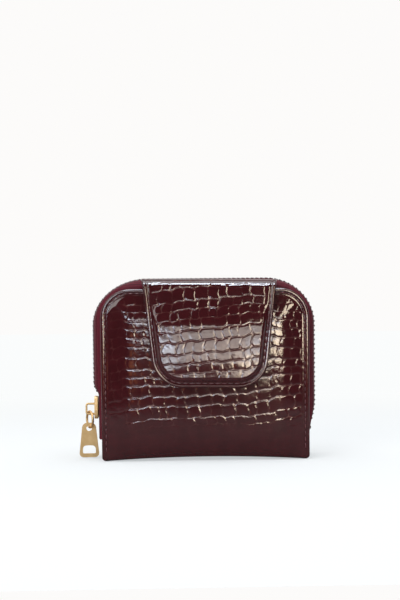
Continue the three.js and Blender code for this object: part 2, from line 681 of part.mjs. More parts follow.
// Bridge: a strap on two posts, proud of the slider's outer plate
function sliderBridge() {
  const foot = SLIDER_FOOT + BRIDGE_FOOT_INSET;
  const top = foot + BRIDGE_LENGTH;
  const outerX = SLIDER_FACE - TUNNEL_HEIGHT - BRIDGE_STRAP;
  const innerX = SLIDER_FACE - TUNNEL_HEIGHT;
  const shape = new THREE.Shape();
  shape.moveTo(SLIDER_FACE, foot);
  shape.lineTo(SLIDER_FACE, foot + BRIDGE_POST);
  shape.lineTo(innerX, foot + BRIDGE_POST);
  shape.lineTo(innerX, top - BRIDGE_POST);
  shape.lineTo(SLIDER_FACE, top - BRIDGE_POST);
  shape.lineTo(SLIDER_FACE, top);
  shape.lineTo(outerX + BRIDGE_CORNER, top);
  shape.absarc(outerX + BRIDGE_CORNER, top - BRIDGE_CORNER, BRIDGE_CORNER, Math.PI / 2, Math.PI, false);
  shape.lineTo(outerX, foot + BRIDGE_CORNER);
  shape.absarc(outerX + BRIDGE_CORNER, foot + BRIDGE_CORNER, BRIDGE_CORNER, Math.PI, 1.5 * Math.PI, false);
  shape.closePath();
  return prism(shape, 'y', ZIP_Y - BRIDGE_WIDTH / 2, ZIP_Y + BRIDGE_WIDTH / 2, SMALL_STEPS);
}

// Ring through the bridge, turned towards the front, and the tab that hangs from it
const RING_X = SLIDER_FACE - RING_SEAT;
const RING_TOP = SLIDER_FOOT + BRIDGE_FOOT_INSET + BRIDGE_POST + RING_WIRE + RING_REST;
const RING_LOW = RING_TOP - 2 * RING_RADIUS;
const ringTurn = THREE.MathUtils.degToRad(RING_YAW);

function pullRing() {
  const ring = new THREE.TorusGeometry(RING_RADIUS, RING_WIRE, RING_SIDES, RING_STEPS);
  ring.rotateX(Math.PI / 2).rotateZ(ringTurn - Math.PI / 2);
  return ring.translate(RING_X, ZIP_Y, RING_TOP - RING_RADIUS);
}

function pullTab() {
  const eye = new THREE.Path().absarc(0, 0, TAB_EYE_RADIUS, 0, 2 * Math.PI);
  const foot = TAB_EYE_DROP - TAB_LENGTH;
  const outline = roundedOutline([
    [-TAB_FOOT_WIDTH / 2, foot, TAB_FOOT_CORNER],
    [TAB_FOOT_WIDTH / 2, foot, TAB_FOOT_CORNER],
    [TAB_TOP_WIDTH / 2, TAB_EYE_DROP, TAB_TOP_CORNER],
    [-TAB_TOP_WIDTH / 2, TAB_EYE_DROP, TAB_TOP_CORNER],
  ], 0, SMALL_STEPS);
  const slotFoot = foot + TAB_SLOT_LIFT;
  const shape = shapeOf(outline);
  shape.holes.push(eye, tabSlot(slotFoot));
  const settings = { depth: TAB_THICK, bevelEnabled: false, curveSegments: RING_SIDES };
  const tab = new THREE.ExtrudeGeometry(shape, settings);
  tab.translate(0, 0, -TAB_THICK / 2).rotateX(Math.PI / 2).rotateZ(ringTurn);
  const eyeDrop = TAB_EYE_RADIUS - RING_WIRE - RUN_CLEARANCE;
  return tab.translate(RING_X, ZIP_Y, RING_LOW - eyeDrop);
}

// Half-moon slot: flat foot, arched top
function tabSlot(foot) {
  const half = TAB_SLOT_WIDTH / 2;
  const spring = foot + TAB_SLOT_HEIGHT * (1 - TAB_SLOT_ARCH_SHARE);
  const slot = new THREE.Path();
  slot.moveTo(-half + TAB_SLOT_CORNER, foot);
  slot.lineTo(half - TAB_SLOT_CORNER, foot);
  slot.quadraticCurveTo(half, foot, half, foot + TAB_SLOT_CORNER);
  slot.lineTo(half, spring);
  slot.bezierCurveTo(
    half,
    foot + TAB_SLOT_HEIGHT,
    half * TAB_SLOT_ARCH_SHARE,
    foot + TAB_SLOT_HEIGHT,
    0,
    foot + TAB_SLOT_HEIGHT,
  );
  slot.bezierCurveTo(
    -half * TAB_SLOT_ARCH_SHARE,
    foot + TAB_SLOT_HEIGHT,
    -half,
    foot + TAB_SLOT_HEIGHT,
    -half,
    spring,
  );
  slot.lineTo(-half, foot + TAB_SLOT_CORNER);
  slot.quadraticCurveTo(-half, foot, -half + TAB_SLOT_CORNER, foot);
  return slot;
}

function addPuller() {
  addPiece('slider_body', sliderBody(), gold());
  addPiece('slider_bridge', sliderBridge(), gold());
  addPiece('pull_ring', pullRing(), gold());
  addPiece('pull_tab', pullTab(), gold());
}

// Flap: layers that share one fold over the pocket's mouth and one tapered outline
const FLAP_BACK = FRONT - PAD_RISE - FLAP_STAND_OFF;
const FLAP_LINING_FRONT = FLAP_BACK - FLAP_LINING;
const FLAP_OUTER_FRONT = FLAP_LINING_FRONT - FLAP_OUTER;
const FLAP_UNDER = PANEL_TOP + FLAP_OVER_PANEL;
const FLAP_JOIN_Z = PANEL_TOP - FLAP_JOIN;
const ROOT_FRONT = POCKET_REAR - FLAP_ROOT;
const FLAP_HINGE_Y = (ROOT_FRONT + POCKET_REAR) / 2;
const FLAP_CORNERS = [
  [FLAP_CENTRE - FLAP_LOW_WIDTH / 2, FLAP_FOOT, FLAP_CORNER],
  [FLAP_CENTRE + FLAP_LOW_WIDTH / 2, FLAP_FOOT, FLAP_CORNER],
  [FLAP_CENTRE + FLAP_TOP_WIDTH / 2, FLAP_JOIN_Z, FLAP_SEAT],
  [FLAP_CENTRE - FLAP_TOP_WIDTH / 2, FLAP_JOIN_Z, FLAP_SEAT],
];

// Fold of one layer, between two offsets from the flap's inner face
function flapFold(near, far) {
  const centreY = FLAP_BACK + FLAP_BEND;
  const centreZ = FLAP_UNDER - FLAP_BEND;
  const low = FLAP_JOIN_Z - FLAP_SEAT;
  const inner = FLAP_BEND + near;
  const outer = FLAP_BEND + far;
  const shape = new THREE.Shape();
  shape.moveTo(centreY - outer, low);
  shape.lineTo(centreY - inner, low);
  shape.lineTo(centreY - inner, centreZ);
  shape.absarc(centreY, centreZ, inner, Math.PI, Math.PI / 2, true);
  shape.lineTo(FLAP_HINGE_Y, centreZ + inner);
  shape.lineTo(FLAP_HINGE_Y, centreZ + outer);
  shape.lineTo(centreY, centreZ + outer);
  shape.absarc(centreY, centreZ, outer, Math.PI / 2, Math.PI, false);
  const half = FLAP_TOP_WIDTH / 2;
  return prism(shape, 'x', FLAP_CENTRE - half, FLAP_CENTRE + half, SMALL_STEPS + SMALL_STEPS);
}

function addFlap() {
  const half = FLAP_TOP_WIDTH / 2;
  const rootTop = FLAP_UNDER - FLAP_ROOT_GAP;
  const left = FLAP_CENTRE - half;
  const right = FLAP_CENTRE + half;
  const root = block(left, right, ROOT_FRONT, POCKET_REAR, FLAP_ROOT_FOOT, rootTop);
  addPiece('flap_root', root, leather());
  const skin = paddedSkin(FLAP_CORNERS, FLAP_OUTER_FRONT, FLAP_PAD);
  addPiece('flap_outer', join(skin, flapFold(FLAP_LINING, FLAP_LINING + FLAP_OUTER)), leather());
  const backing = prism(shapeOf(roundedOutline(FLAP_CORNERS)), 'y', FLAP_LINING_FRONT, FLAP_BACK);
  addPiece('flap_lining', join(backing, flapFold(0, FLAP_LINING)), lining());
  const filling = padFilling(FLAP_CORNERS, FLAP_OUTER_FRONT, FLAP_PAD);
  addPiece('flap_foam', magnetPocket(filling, FLAP_OUTER_FRONT, FLAP_LINING_FRONT), foam());
  const magnetFront = FLAP_LINING_FRONT - MAGNET_THICK;
  const stud = disc(FLAP_CENTRE, MAGNET_HEIGHT, MAGNET_RADIUS, magnetFront, FLAP_LINING_FRONT);
  addPiece('magnet_stud', stud, steel());
}

// Coin pocket: two walls, the edge between them, and a small zip across the top
const COIN_HALF = COIN_WIDTH / 2;
const COIN_FRONT = ZIP_Y - COIN_DEPTH / 2;
const COIN_REAR = ZIP_Y + COIN_DEPTH / 2;
const COIN_FOOT = LEATHER + SPINE_LINING;
const COIN_SLIDER_X = -COIN_HALF + COIN_SLIDER_INSET;
const COIN_CHAIN_LOW = COIN_TOP - COIN_COIL_RISE;
const COIN_CHAIN_HIGH = COIN_TOP + COIN_TAPE + COIN_COIL_RISE;

function coinEdge() {
  const inner = COIN_HALF - COIN_SIDE;
  const shape = shapeOf([
    new THREE.Vector2(-COIN_HALF, COIN_FOOT),
    new THREE.Vector2(COIN_HALF, COIN_FOOT),
    new THREE.Vector2(COIN_HALF, COIN_TOP),
    new THREE.Vector2(inner, COIN_TOP),
    new THREE.Vector2(inner, COIN_FOOT + COIN_SIDE),
    new THREE.Vector2(-inner, COIN_FOOT + COIN_SIDE),
    new THREE.Vector2(-inner, COIN_TOP),
    new THREE.Vector2(-COIN_HALF, COIN_TOP),
  ]);
  return prism(shape, 'y', COIN_FRONT + COIN_WALL, COIN_REAR - COIN_WALL);
}

// Closed coil chain, drawn as a ridge at every pitch
function coinChain() {
  const start = COIN_SLIDER_X + COIN_SLIDER_LENGTH / 2 + COIN_CLEARANCE;
  const count = Math.floor((COIN_HALF - COIN_SIDE - COIN_CLEARANCE - start) / COIN_PITCH);
  const over = [];
  const under = [];
  for (let i = 0; i < count; i += 1) {
    const x = start + i * COIN_PITCH;
    over.push(new THREE.Vector2(x, COIN_CHAIN_HIGH - COIN_COIL_RISE / 2));
    over.push(new THREE.Vector2(x + COIN_PITCH / 2, COIN_CHAIN_HIGH));
    under.push(new THREE.Vector2(x, COIN_CHAIN_LOW + COIN_COIL_RISE / 2));
    under.push(new THREE.Vector2(x + COIN_PITCH / 2, COIN_CHAIN_LOW));
  }
  const end = start + count * COIN_PITCH;
  over.push(new THREE.Vector2(end, COIN_CHAIN_HIGH - COIN_COIL_RISE / 2));
  under.push(new THREE.Vector2(end, COIN_CHAIN_LOW + COIN_COIL_RISE / 2));
  const outline = [...under, ...over.reverse()];
  return prism(shapeOf(outline), 'y', ZIP_Y - COIN_COIL / 2, ZIP_Y + COIN_COIL / 2);
}

function coinSlider() {
  const half = COIN_SLIDER_LENGTH / 2;
  const upper = COIN_CHAIN_HIGH + COIN_CLEARANCE;
  const top = upper + COIN_SLIDER_PLATE;
  const lower = COIN_CHAIN_LOW - COIN_CLEARANCE;
  const postHalf = COIN_COIL / 2 - COIN_CLEARANCE;
  const slab = (width, low, high) => prism(
    shapeOf(roundedOutline([
      [COIN_SLIDER_X - half, ZIP_Y - width / 2, COIN_CLEARANCE],
      [COIN_SLIDER_X + half, ZIP_Y - width / 2, COIN_SLIDER_PLATE],
      [COIN_SLIDER_X + half, ZIP_Y + width / 2, COIN_SLIDER_PLATE],
      [COIN_SLIDER_X - half, ZIP_Y + width / 2, COIN_CLEARANCE],
    ], 0, SMALL_STEPS)),
    'z',
    low,
    high,
  );
  const post = block(
    COIN_SLIDER_X - half + COIN_SLIDER_PLATE,
    COIN_SLIDER_X,
    ZIP_Y - postHalf,
    ZIP_Y + postHalf,
    lower - COIN_SLIDER_PLATE / 2,
    top - COIN_SLIDER_PLATE / 2,
  );
  const plate = slab(COIN_SLIDER_WIDTH, upper, top);
  const keel = slab(COIN_SLIDER_KEEL, lower - COIN_SLIDER_PLATE, lower);
  return join(plate, post, keel, coinBridge(top - COIN_SLIDER_PLATE / 2, top));
}

// Strap over the small slider that the pull's end bar runs under
function coinBridge(seat, top) {
  const half = COIN_STRAP_LENGTH / 2;
  const under = top + COIN_TUNNEL;
  const over = under + COIN_STRAP;
  const shape = shapeOf([
    new THREE.Vector2(COIN_SLIDER_X - half, seat),
    new THREE.Vector2(COIN_SLIDER_X - half + COIN_STRAP, seat),
    new THREE.Vector2(COIN_SLIDER_X - half + COIN_STRAP, under),
    new THREE.Vector2(COIN_SLIDER_X + half - COIN_STRAP, under),
    new THREE.Vector2(COIN_SLIDER_X + half - COIN_STRAP, seat),
    new THREE.Vector2(COIN_SLIDER_X + half, seat),
    new THREE.Vector2(COIN_SLIDER_X + half, over),
    new THREE.Vector2(COIN_SLIDER_X - half, over),
  ]);
  return prism(shape, 'y', ZIP_Y - COIN_COIL / 2, ZIP_Y + COIN_COIL / 2);
}

// Flat pull that lies along the small chain
function coinPull() {
  const bar = COIN_PULL_THICK;
  const start = COIN_SLIDER_X + COIN_STRAP_LENGTH / 2 - COIN_STRAP - COIN_CLEARANCE - bar;
  const half = COIN_PULL_WIDTH / 2;
  const outline = roundedOutline([
    [start, ZIP_Y - half, bar / 2],
    [start + COIN_PULL_LENGTH, ZIP_Y - half, COIN_PULL_CORNER],
    [start + COIN_PULL_LENGTH, ZIP_Y + half, COIN_PULL_CORNER],
    [start, ZIP_Y + half, bar / 2],
  ], 0, SMALL_STEPS);
  const gap = COIN_COIL / 2 + COIN_CLEARANCE;
  const hole = new THREE.Path([
    new THREE.Vector2(start + bar, ZIP_Y - gap),
    new THREE.Vector2(start + bar + COIN_PULL_HOLE, ZIP_Y - gap),
    new THREE.Vector2(start + bar + COIN_PULL_HOLE, ZIP_Y + gap),
    new THREE.Vector2(start + bar, ZIP_Y + gap),
  ]);
  const shape = shapeOf(outline);
  shape.holes.push(hole);
  const seat = COIN_CHAIN_HIGH + COIN_CLEARANCE + COIN_SLIDER_PLATE + COIN_CLEARANCE;
  return prism(shape, 'z', seat, seat + COIN_PULL_THICK);
}

function addCoinPocket() {
  const wall = shapeOf(roundedOutline([
    [-COIN_HALF, COIN_FOOT, PANEL_FOOT_CORNER],
    [COIN_HALF, COIN_FOOT, PANEL_FOOT_CORNER],
    [COIN_HALF, COIN_TOP, PANEL_FOOT_CORNER],
    [-COIN_HALF, COIN_TOP, PANEL_FOOT_CORNER],
  ], 0, SMALL_STEPS));
  addPiece('coin_wall_front', prism(wall, 'y', COIN_FRONT, COIN_FRONT + COIN_WALL), lining());
  addPiece('coin_wall_rear', prism(wall, 'y', COIN_REAR - COIN_WALL, COIN_REAR), lining());
  addPiece('coin_pocket_edge', coinEdge(), lining());
  const tapeHigh = COIN_TOP + COIN_TAPE;
  const nearCoil = ZIP_Y - COIN_COIL / 2;
  const farCoil = ZIP_Y + COIN_COIL / 2;
  const reach = COIN_HALF - PANEL_FOOT_CORNER;
  addPiece('coin_tape_front', block(-reach, reach, COIN_FRONT, nearCoil, COIN_TOP, tapeHigh), tapeCloth());
  addPiece('coin_tape_rear', block(-reach, reach, farCoil, COIN_REAR, COIN_TOP, tapeHigh), tapeCloth());
  addPiece('coin_zip_chain', coinChain(), resin());
  addPiece('coin_slider', coinSlider(), gold());
  addPiece('coin_pull', coinPull(), gold());
}

addSpine();
addFrontHalf();
addRearHalf();
addCardPockets();
addMainZip();
addPuller();
addFlap();
addCoinPocket();

export default group;
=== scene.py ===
# Compact zip-around wallet with a front flap, in glossy burgundy leather embossed with reptile scales.
# It stands on its spine, front towards -Y. Shapes are worked out in millimetres and stored in metres.
import json
import math

import bmesh
import bpy
import numpy as np
from mathutils import Matrix, Vector

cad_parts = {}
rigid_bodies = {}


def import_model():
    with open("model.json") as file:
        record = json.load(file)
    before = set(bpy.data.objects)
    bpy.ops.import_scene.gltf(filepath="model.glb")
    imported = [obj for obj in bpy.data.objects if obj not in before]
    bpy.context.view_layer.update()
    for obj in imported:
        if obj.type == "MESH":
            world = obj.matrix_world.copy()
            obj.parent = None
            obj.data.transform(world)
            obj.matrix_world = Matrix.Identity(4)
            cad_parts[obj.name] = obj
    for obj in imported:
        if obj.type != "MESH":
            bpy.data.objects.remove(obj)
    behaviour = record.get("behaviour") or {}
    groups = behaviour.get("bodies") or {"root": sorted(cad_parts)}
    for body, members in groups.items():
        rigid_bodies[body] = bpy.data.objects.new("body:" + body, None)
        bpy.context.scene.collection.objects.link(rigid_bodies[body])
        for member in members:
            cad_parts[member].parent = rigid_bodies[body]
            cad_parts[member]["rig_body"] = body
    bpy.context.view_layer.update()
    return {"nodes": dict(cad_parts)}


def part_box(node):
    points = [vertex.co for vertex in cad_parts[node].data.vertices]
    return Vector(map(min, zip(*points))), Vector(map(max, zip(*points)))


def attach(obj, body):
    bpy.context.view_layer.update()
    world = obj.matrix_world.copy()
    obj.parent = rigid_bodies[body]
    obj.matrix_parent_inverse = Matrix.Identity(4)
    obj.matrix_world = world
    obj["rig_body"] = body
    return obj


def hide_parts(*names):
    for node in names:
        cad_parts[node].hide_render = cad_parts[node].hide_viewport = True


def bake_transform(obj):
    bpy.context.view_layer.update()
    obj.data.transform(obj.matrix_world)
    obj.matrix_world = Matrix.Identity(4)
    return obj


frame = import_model()


# Camera: a short telephoto a little above the wallet and nearly square to its front.
# The wallet sits low in the upright picture, so the lens is shifted upwards.
CAMERA_AIM = (-0.0024, 0.0, 0.0469)
CAMERA_DISTANCE = 0.627
CAMERA_AZIMUTH = -1.75
CAMERA_ELEVATION = 2.8
CAMERA_ROLL = -0.57
CAMERA_LENS = 70.0
CAMERA_FILM = 36.0
CAMERA_SHIFT = 0.117


def direction_of(azimuth, elevation):
    """Direction from the wallet, by angles in radians from straight in front and from the level."""
    level = math.cos(elevation)
    return Vector((math.sin(azimuth) * level, -math.cos(azimuth) * level, math.sin(elevation)))


towards = direction_of(math.radians(CAMERA_AZIMUTH), math.radians(CAMERA_ELEVATION))
camera_data = bpy.data.cameras.new("camera")
camera_data.lens = CAMERA_LENS
camera_data.sensor_fit = "VERTICAL"
camera_data.sensor_height = CAMERA_FILM
camera_data.shift_y = CAMERA_SHIFT
camera_data.clip_start = 0.01
camera = bpy.data.objects.new("camera", camera_data)
bpy.context.scene.collection.objects.link(camera)
turn = (-towards).to_track_quat("-Z", "Y").to_matrix().to_4x4()
roll = Matrix.Rotation(math.radians(CAMERA_ROLL), 4, "Z")
camera.matrix_world = Matrix.Translation(Vector(CAMERA_AIM) + towards * CAMERA_DISTANCE) @ turn @ roll
bpy.context.scene.camera = camera


# Front cover: one sheet of embossed patent leather, from under the spine round the fold and up the front.
# Its middle is padded with foam behind a slanted border, and its edges are rolled over and stitched.
# It turns a quarter circle at the fold.
MM = 0.001
COVER_HALF = 54.75
COVER_TOP = 90.4
COVER_CORNER = 15.5
COVER_FACE = 15.0
FOLD_RADIUS = 2.0
FOLD_ARC = FOLD_RADIUS * math.pi / 2
SPINE_HALF = COVER_FACE - FOLD_RADIUS
SPINE_ARCH = 1.9
ARCH_FADE = 26.0
COVER_LENGTH = SPINE_HALF + FOLD_ARC + COVER_TOP - FOLD_RADIUS
COVER_COUNTS = (297, 285, 297)
# Samples of an outline's corner, size of a back's faces in faces of the front, and how far a back's
# grid and a face's grid stay inside the outline
CORNER_POINTS = 33
COARSE = 4
BACK_STEP = 2.0
EDGE_BAND = 3.6


def rectangle(low, high):
    """Outline of four corners, whose last side is the open one."""
    return (low[0], low[1]), (low[0], high[1]), (high[0], high[1]), (high[0], low[1])


def length_along(line):
    """Length from the start of a line to each of its points."""
    return np.concatenate([[0], np.cumsum(np.linalg.norm(np.diff(line, axis=0), axis=1))])


def joined(parts):
    """The three parts of a path in one, without the points that two of them share."""
    return np.concatenate([parts[0], parts[1][1:], parts[2][1:]])


def rim_of(index):
    """Numbers of a grid's vertices along its left side, its far end and its right side."""
    return np.concatenate([index[:, 0], index[-1, 1:], index[-2::-1, -1]])


def rounded_path(corners, corner_radius, inset, counts):
    """Open path round the last three sides of a four-cornered outline, moved inwards by the inset.
    Every side is moved along its normal, and an arc joins two sides where they meet. The path is
    cut in the middle of each arc, and each of its three parts is sampled evenly along its length."""
    points = np.array(corners, float)
    along = points[1:] - points[:-1]
    along /= np.linalg.norm(along, axis=1)[:, None]
    inward = np.stack([along[:, 1], -along[:, 0]], 1)
    start = points[0] + np.array([inset / inward[0, 0], 0.0])
    end = points[3] - np.array([inset / -inward[2, 0], 0.0])
    pieces = [[start], [], []]
    for corner in (1, 2):
        before, after = along[corner - 1], along[corner]
        bend = math.acos(np.clip(before @ after, -1, 1))
        pull = (inward[corner - 1] + inward[corner]) / (1 + before @ after)
        tip = points[corner] + inset * pull
        radius = max(corner_radius - inset, 0.25 * corner_radius)
        centre = tip + pull * radius
        first = math.atan2(-inward[corner - 1][1], -inward[corner - 1][0])
        angles = first - np.linspace(0, bend, CORNER_POINTS)
        arc = centre + radius * np.stack([np.cos(angles), np.sin(angles)], 1)
        pieces[corner - 1] += list(arc[:CORNER_POINTS // 2 + 1])
        pieces[corner] += list(arc[CORNER_POINTS // 2:])
    pieces[2].append(end)
    parts = []
    for piece, count in zip(pieces, counts):
        piece = np.array(piece)
        run = length_along(piece)
        places = np.linspace(0, run[-1], count)
        parts.append(np.stack([np.interp(places, run, piece[:, axis]) for axis in (0, 1)], 1))
    return parts


def filled(parts):
    """Grid inside three joined sides and the straight line between their ends. A point is the sum of
    its places between left and right and between open end and far end, less that of the corners."""
    left, far, right = parts[0], parts[1], parts[2][::-1]
    u = np.linspace(0, 1, len(far))[None, :, None]
    v = np.linspace(0, 1, len(left))[:, None, None]
    open_end = left[0] * (1 - u) + right[0] * u
    corners = open_end * (1 - v) + (left[-1] * (1 - u) + right[-1] * u) * v
    sides = left[:, None, :] * (1 - u) + right[:, None, :] * u
    ends = open_end * (1 - v) + far[None, :, :] * v
    return sides + ends - corners


def distance_to(points, line):
    """Distance from every point to the nearest sample of a line."""
    flat = points.reshape(-1, 2)
    best = np.empty(len(flat))
    for low in range(0, len(flat), 4096):
        gap = flat[low:low + 4096, None, :] - line[None, :, :]
        best[low:low + 4096] = np.sqrt((gap ** 2).sum(2).min(1))
    return best.reshape(points.shape[:-1])


def grid_faces(rows, columns, first=0):
    """Four-cornered faces of a grid of vertices, numbered row by row."""
    index = first + np.arange(rows * columns).reshape(rows, columns)
    return np.stack([index[:-1, :-1], index[:-1, 1:], index[1:, 1:], index[1:, :-1]], -1).reshape(-1, 4)


def smooth(value, low, high):
    """0 below low, 1 above high, and a smooth step between them."""
    t = np.clip((value - low) / (high - low), 0, 1)
    return t * t * (3 - 2 * t)


def add_mesh(name, points, faces, material, **attributes):
    """Object from vertices in millimetres, arrays of faces and one value per vertex for each attribute."""
    corners = np.concatenate([f.ravel() for f in faces]).astype(np.int32)
    sizes = np.concatenate([np.full(len(f), f.shape[1]) for f in faces])
    mesh = bpy.data.meshes.new(name)
    mesh.vertices.add(len(points))
    mesh.vertices.foreach_set("co", (np.asarray(points, float) * MM).astype(np.float32).ravel())
    mesh.loops.add(len(corners))
    mesh.loops.foreach_set("vertex_index", corners)
    mesh.polygons.add(len(sizes))
    mesh.polygons.foreach_set("loop_start", np.concatenate([[0], np.cumsum(sizes)[:-1]]).astype(np.int32))
    mesh.update(calc_edges=True)
    mesh.validate()
    mesh.polygons.foreach_set("use_smooth", np.ones(len(mesh.polygons), bool))
    for key, values in attributes.items():
        layer = mesh.attributes.new(key, "FLOAT", "POINT")
        layer.data.foreach_set("value", np.asarray(values, np.float32).ravel())
    piece = bpy.data.objects.new(name, mesh)
    bpy.context.scene.collection.objects.link(piece)
    mesh.materials.append(material)
    return piece


def leather_sheet(name, corners, corner_radius, counts, rings, face, place):
    """Closed sheet of leather. Its face is a fine grid inside the outline's inset by the edge band.
    Rings, each an inset and a depth, lead from there over the rolled edge to the back, which is a
    coarse grid. face gives the height and the groove of every point, place puts them in space."""
    outline = np.concatenate(rounded_path(corners, corner_radius, 0.0, counts))
    inner = filled(rounded_path(corners, corner_radius, EDGE_BAND, counts))
    height, groove = face(inner, distance_to(inner, outline))
    layers = [place(inner[..., 0], inner[..., 1], height).reshape(-1, 3)]
    rows, columns = inner.shape[:2]
    faces = [grid_faces(rows, columns)]
    index = np.arange(rows * columns).reshape(rows, columns)
    previous = rim_of(index)
    first = rows * columns
    starts, ends = [], []
    for inset, depth in rings:
        ring = joined(rounded_path(corners, corner_radius, inset, counts))
        layers.append(place(ring[:, 0], ring[:, 1], np.full(len(ring), depth)))
        current = first + np.arange(len(ring))
        faces.append(np.stack([previous[:-1], previous[1:], current[1:], current[:-1]], 1))
        starts.append(first)
        previous, first = current, first + len(ring)
        ends.append(first - 1)
    coarse_counts = [(count - 1) // COARSE + 1 for count in counts]
    back = filled(rounded_path(corners, corner_radius, rings[-1][0] + BACK_STEP, coarse_counts))
    depth = np.full(back.shape[:2], rings[-1][1])
    layers.append(place(back[..., 0], back[..., 1], depth).reshape(-1, 3))
    back_rows, back_columns = back.shape[:2]
    rear = first + np.arange(back_rows * back_columns).reshape(back_rows, back_columns)
    faces.append(grid_faces(back_rows, back_columns, first)[:, ::-1])
    end_face = np.concatenate([starts[::-1], index[0], ends, rear[0, ::-1]])
    faces.append(end_face[None, ::-1])
    rim = rim_of(rear)
    low, high = rim[:-1], rim[1:]
    steps = [previous[k:len(previous) - COARSE + k:COARSE] for k in range(COARSE + 1)]
    half = COARSE // 2
    fans = [(steps[k], steps[k + 1], low) for k in range(half)]
    fans += [(steps[k], steps[k + 1], high) for k in range(half, COARSE)]
    fans.append((steps[half], high, low))
    faces += [np.stack(fan, 1) for fan in fans]
    points = np.concatenate(layers)
    grooves = np.zeros(len(points))
    grooves[:groove.size] = groove.ravel()
    return add_mesh(name, points, faces, cover_leather, groove=grooves)


# Embossing: width of a scale's sloping side, width of the paler tint in a groove, which is partly
# the leather's own colour and partly a painted highlight for the glints there, how much of a
# scale's height is level, domed and tilted, the rows' waves as pairs of a length and a swing, the
# spread of the rows' heights, and how far the cuts between scales lean and swing
SCALE_WALL = 0.5
GROOVE_TINT_AND_GLINT = 0.22
SCALE_LEVEL, SCALE_DOME, SCALE_TILT = 0.8, 0.14, 0.2
ROW_WAVES = ((71.0, 0.9), (39.0, 0.5), (11.3, 0.3), (6.1, 0.2))
ROW_SPREAD = (0.76, 1.22)
CUT_LEAN, CUT_SWING = 0.18, 0.3


def drift(across, along, rng, length):
    """Smooth random field from about -1 to 1: a sum of six plane waves of about the given length."""
    turns = rng.uniform(0, 2 * np.pi, 6)
    pitch = 2 * np.pi / (length * rng.uniform(0.7, 1.5, 6))
    phases = rng.uniform(0, 2 * np.pi, 6)
    total = np.zeros_like(across)
    for turn, wave, phase in zip(turns, pitch, phases):
        total += np.cos(wave * (across * np.cos(turn) + along * np.sin(turn)) + phase)
    return total / 2.6


def scales(across, along, seed, row_height, slope, widths):
    """Embossed scales: height from 0 in a groove to 1 on a scale, and the groove's own share.
    Wavy rows of random height rise to the right, random widths cut each row, and a scale is a
    rectangle with round corners, whose height grows with the distance from its own outline. A
    scale is domed and tilted a little its own way. The cuts between the scales of a row are
    pressed less deeply in places than the rows' own lines."""
    rng = np.random.default_rng(seed)
    pressed = 0.72 + 0.28 * np.clip(drift(across, along, rng, 13), -1, 1)
    cut = np.clip(0.8 + 0.6 * drift(across, along, rng, 12), 0.15, 1)
    lifted = along - slope * across
    for length, swing in ROW_WAVES:
        lifted = lifted + swing * np.sin(2 * np.pi * (across / length + rng.random()) + along / 17)
    low = lifted.min() - row_height
    count = int((lifted.max() - low) / row_height * 1.2) + 3
    edges = low + np.concatenate([[0], np.cumsum(row_height * rng.uniform(*ROW_SPREAD, count))])
    row = np.clip(np.searchsorted(edges, lifted, side="right") - 1, 0, count - 1)
    half_up = np.diff(edges)[row] / 2
    up = lifted - edges[row] - half_up
    sideways = np.empty_like(lifted)
    half_wide = np.empty_like(lifted)
    tilt = np.empty_like(lifted)
    reach = across.max() - across.min() + 4 * widths[1]
    for i in range(count):
        here = row == i
        cuts = rng.uniform(*widths, int(reach / widths[0]) + 2)
        cuts = across.min() - 2 * widths[1] - rng.uniform(0, widths[1]) + np.cumsum(cuts)
        lean, phase = rng.uniform(-CUT_LEAN, CUT_LEAN), rng.uniform(0, 2 * np.pi)
        place = across[here] + lean * up[here] + CUT_SWING * np.sin(up[here] * 1.3 + phase)
        cell = np.clip(np.searchsorted(cuts, place, side="right") - 1, 0, len(cuts) - 2)
        tilts = rng.uniform(-1, 1, (2, len(cuts)))
        tilt[here] = tilts[0, cell] * (place - cuts[cell]) / 3 + tilts[1, cell] * up[here] / 3
        half_wide[here] = (cuts[cell + 1] - cuts[cell]) / 2
        sideways[here] = place - cuts[cell] - half_wide[here]
    radius = 0.42 * np.minimum(half_up, half_wide) + 0.35
    beyond_side = np.abs(sideways) - half_wide + radius
    beyond_top = np.abs(up) - half_up + radius
    outside = np.hypot(np.maximum(beyond_side, 0), np.maximum(beyond_top, 0))
    inside = radius - outside - np.minimum(np.maximum(beyond_side, beyond_top), 0)
    between_rows = half_up - np.abs(up)
    height = cut * scale_side(inside) + (1 - cut) * scale_side(between_rows)
    # The paler groove tint is partly a painted highlight for the glints in the grooves.
    groove = cut * groove_tint_and_glint(inside) + (1 - cut) * groove_tint_and_glint(between_rows)
    dome = (1 - (sideways / half_wide) ** 2) * (1 - (up / half_up) ** 2)
    height = height * (SCALE_LEVEL + SCALE_DOME * dome + SCALE_TILT * tilt)
    return 1 - pressed * (1 - height), pressed * groove


def scale_side(inside):
    """Side of a scale: an even slope over the last of its width."""
    return np.clip(inside / SCALE_WALL, 0, 1)


def groove_tint_and_glint(inside):
    """Share of the paler tint, partly a painted highlight for the glints, in the bottom of a groove only."""
    return 1 - smooth(inside, -0.05, GROOVE_TINT_AND_GLINT)


# Patent leather: deep burgundy under a clear coat, duller in the grooves of the embossing and paler
# there, partly in its own colour and partly as a painted highlight for the grooves' glints.
# Noise scales are in waves a metre, and the heights of fine relief in metres.
def feed(tree, node, inputs):
    """Gives a node's inputs their plain values, or the outputs of other nodes that feed them."""
    for key, value in inputs.items():
        if isinstance(value, bpy.types.NodeSocket):
            tree.links.new(value, node.inputs[key])
        else:
            node.inputs[key].default_value = value


def add_node(tree, kind, inputs=None, output=0, **settings):
    """Adds a node of a kind with its settings and its inputs, and gives one of its outputs."""
    node = tree.nodes.new("ShaderNode" + kind)
    for key, value in settings.items():
        setattr(node, key, value)
    feed(tree, node, inputs or {})
    return node.outputs[output]


def maths(tree, operation, *values):
    """Sum, product or the like of two or three values."""
    return add_node(tree, "Math", dict(enumerate(values)), "Value", operation=operation)


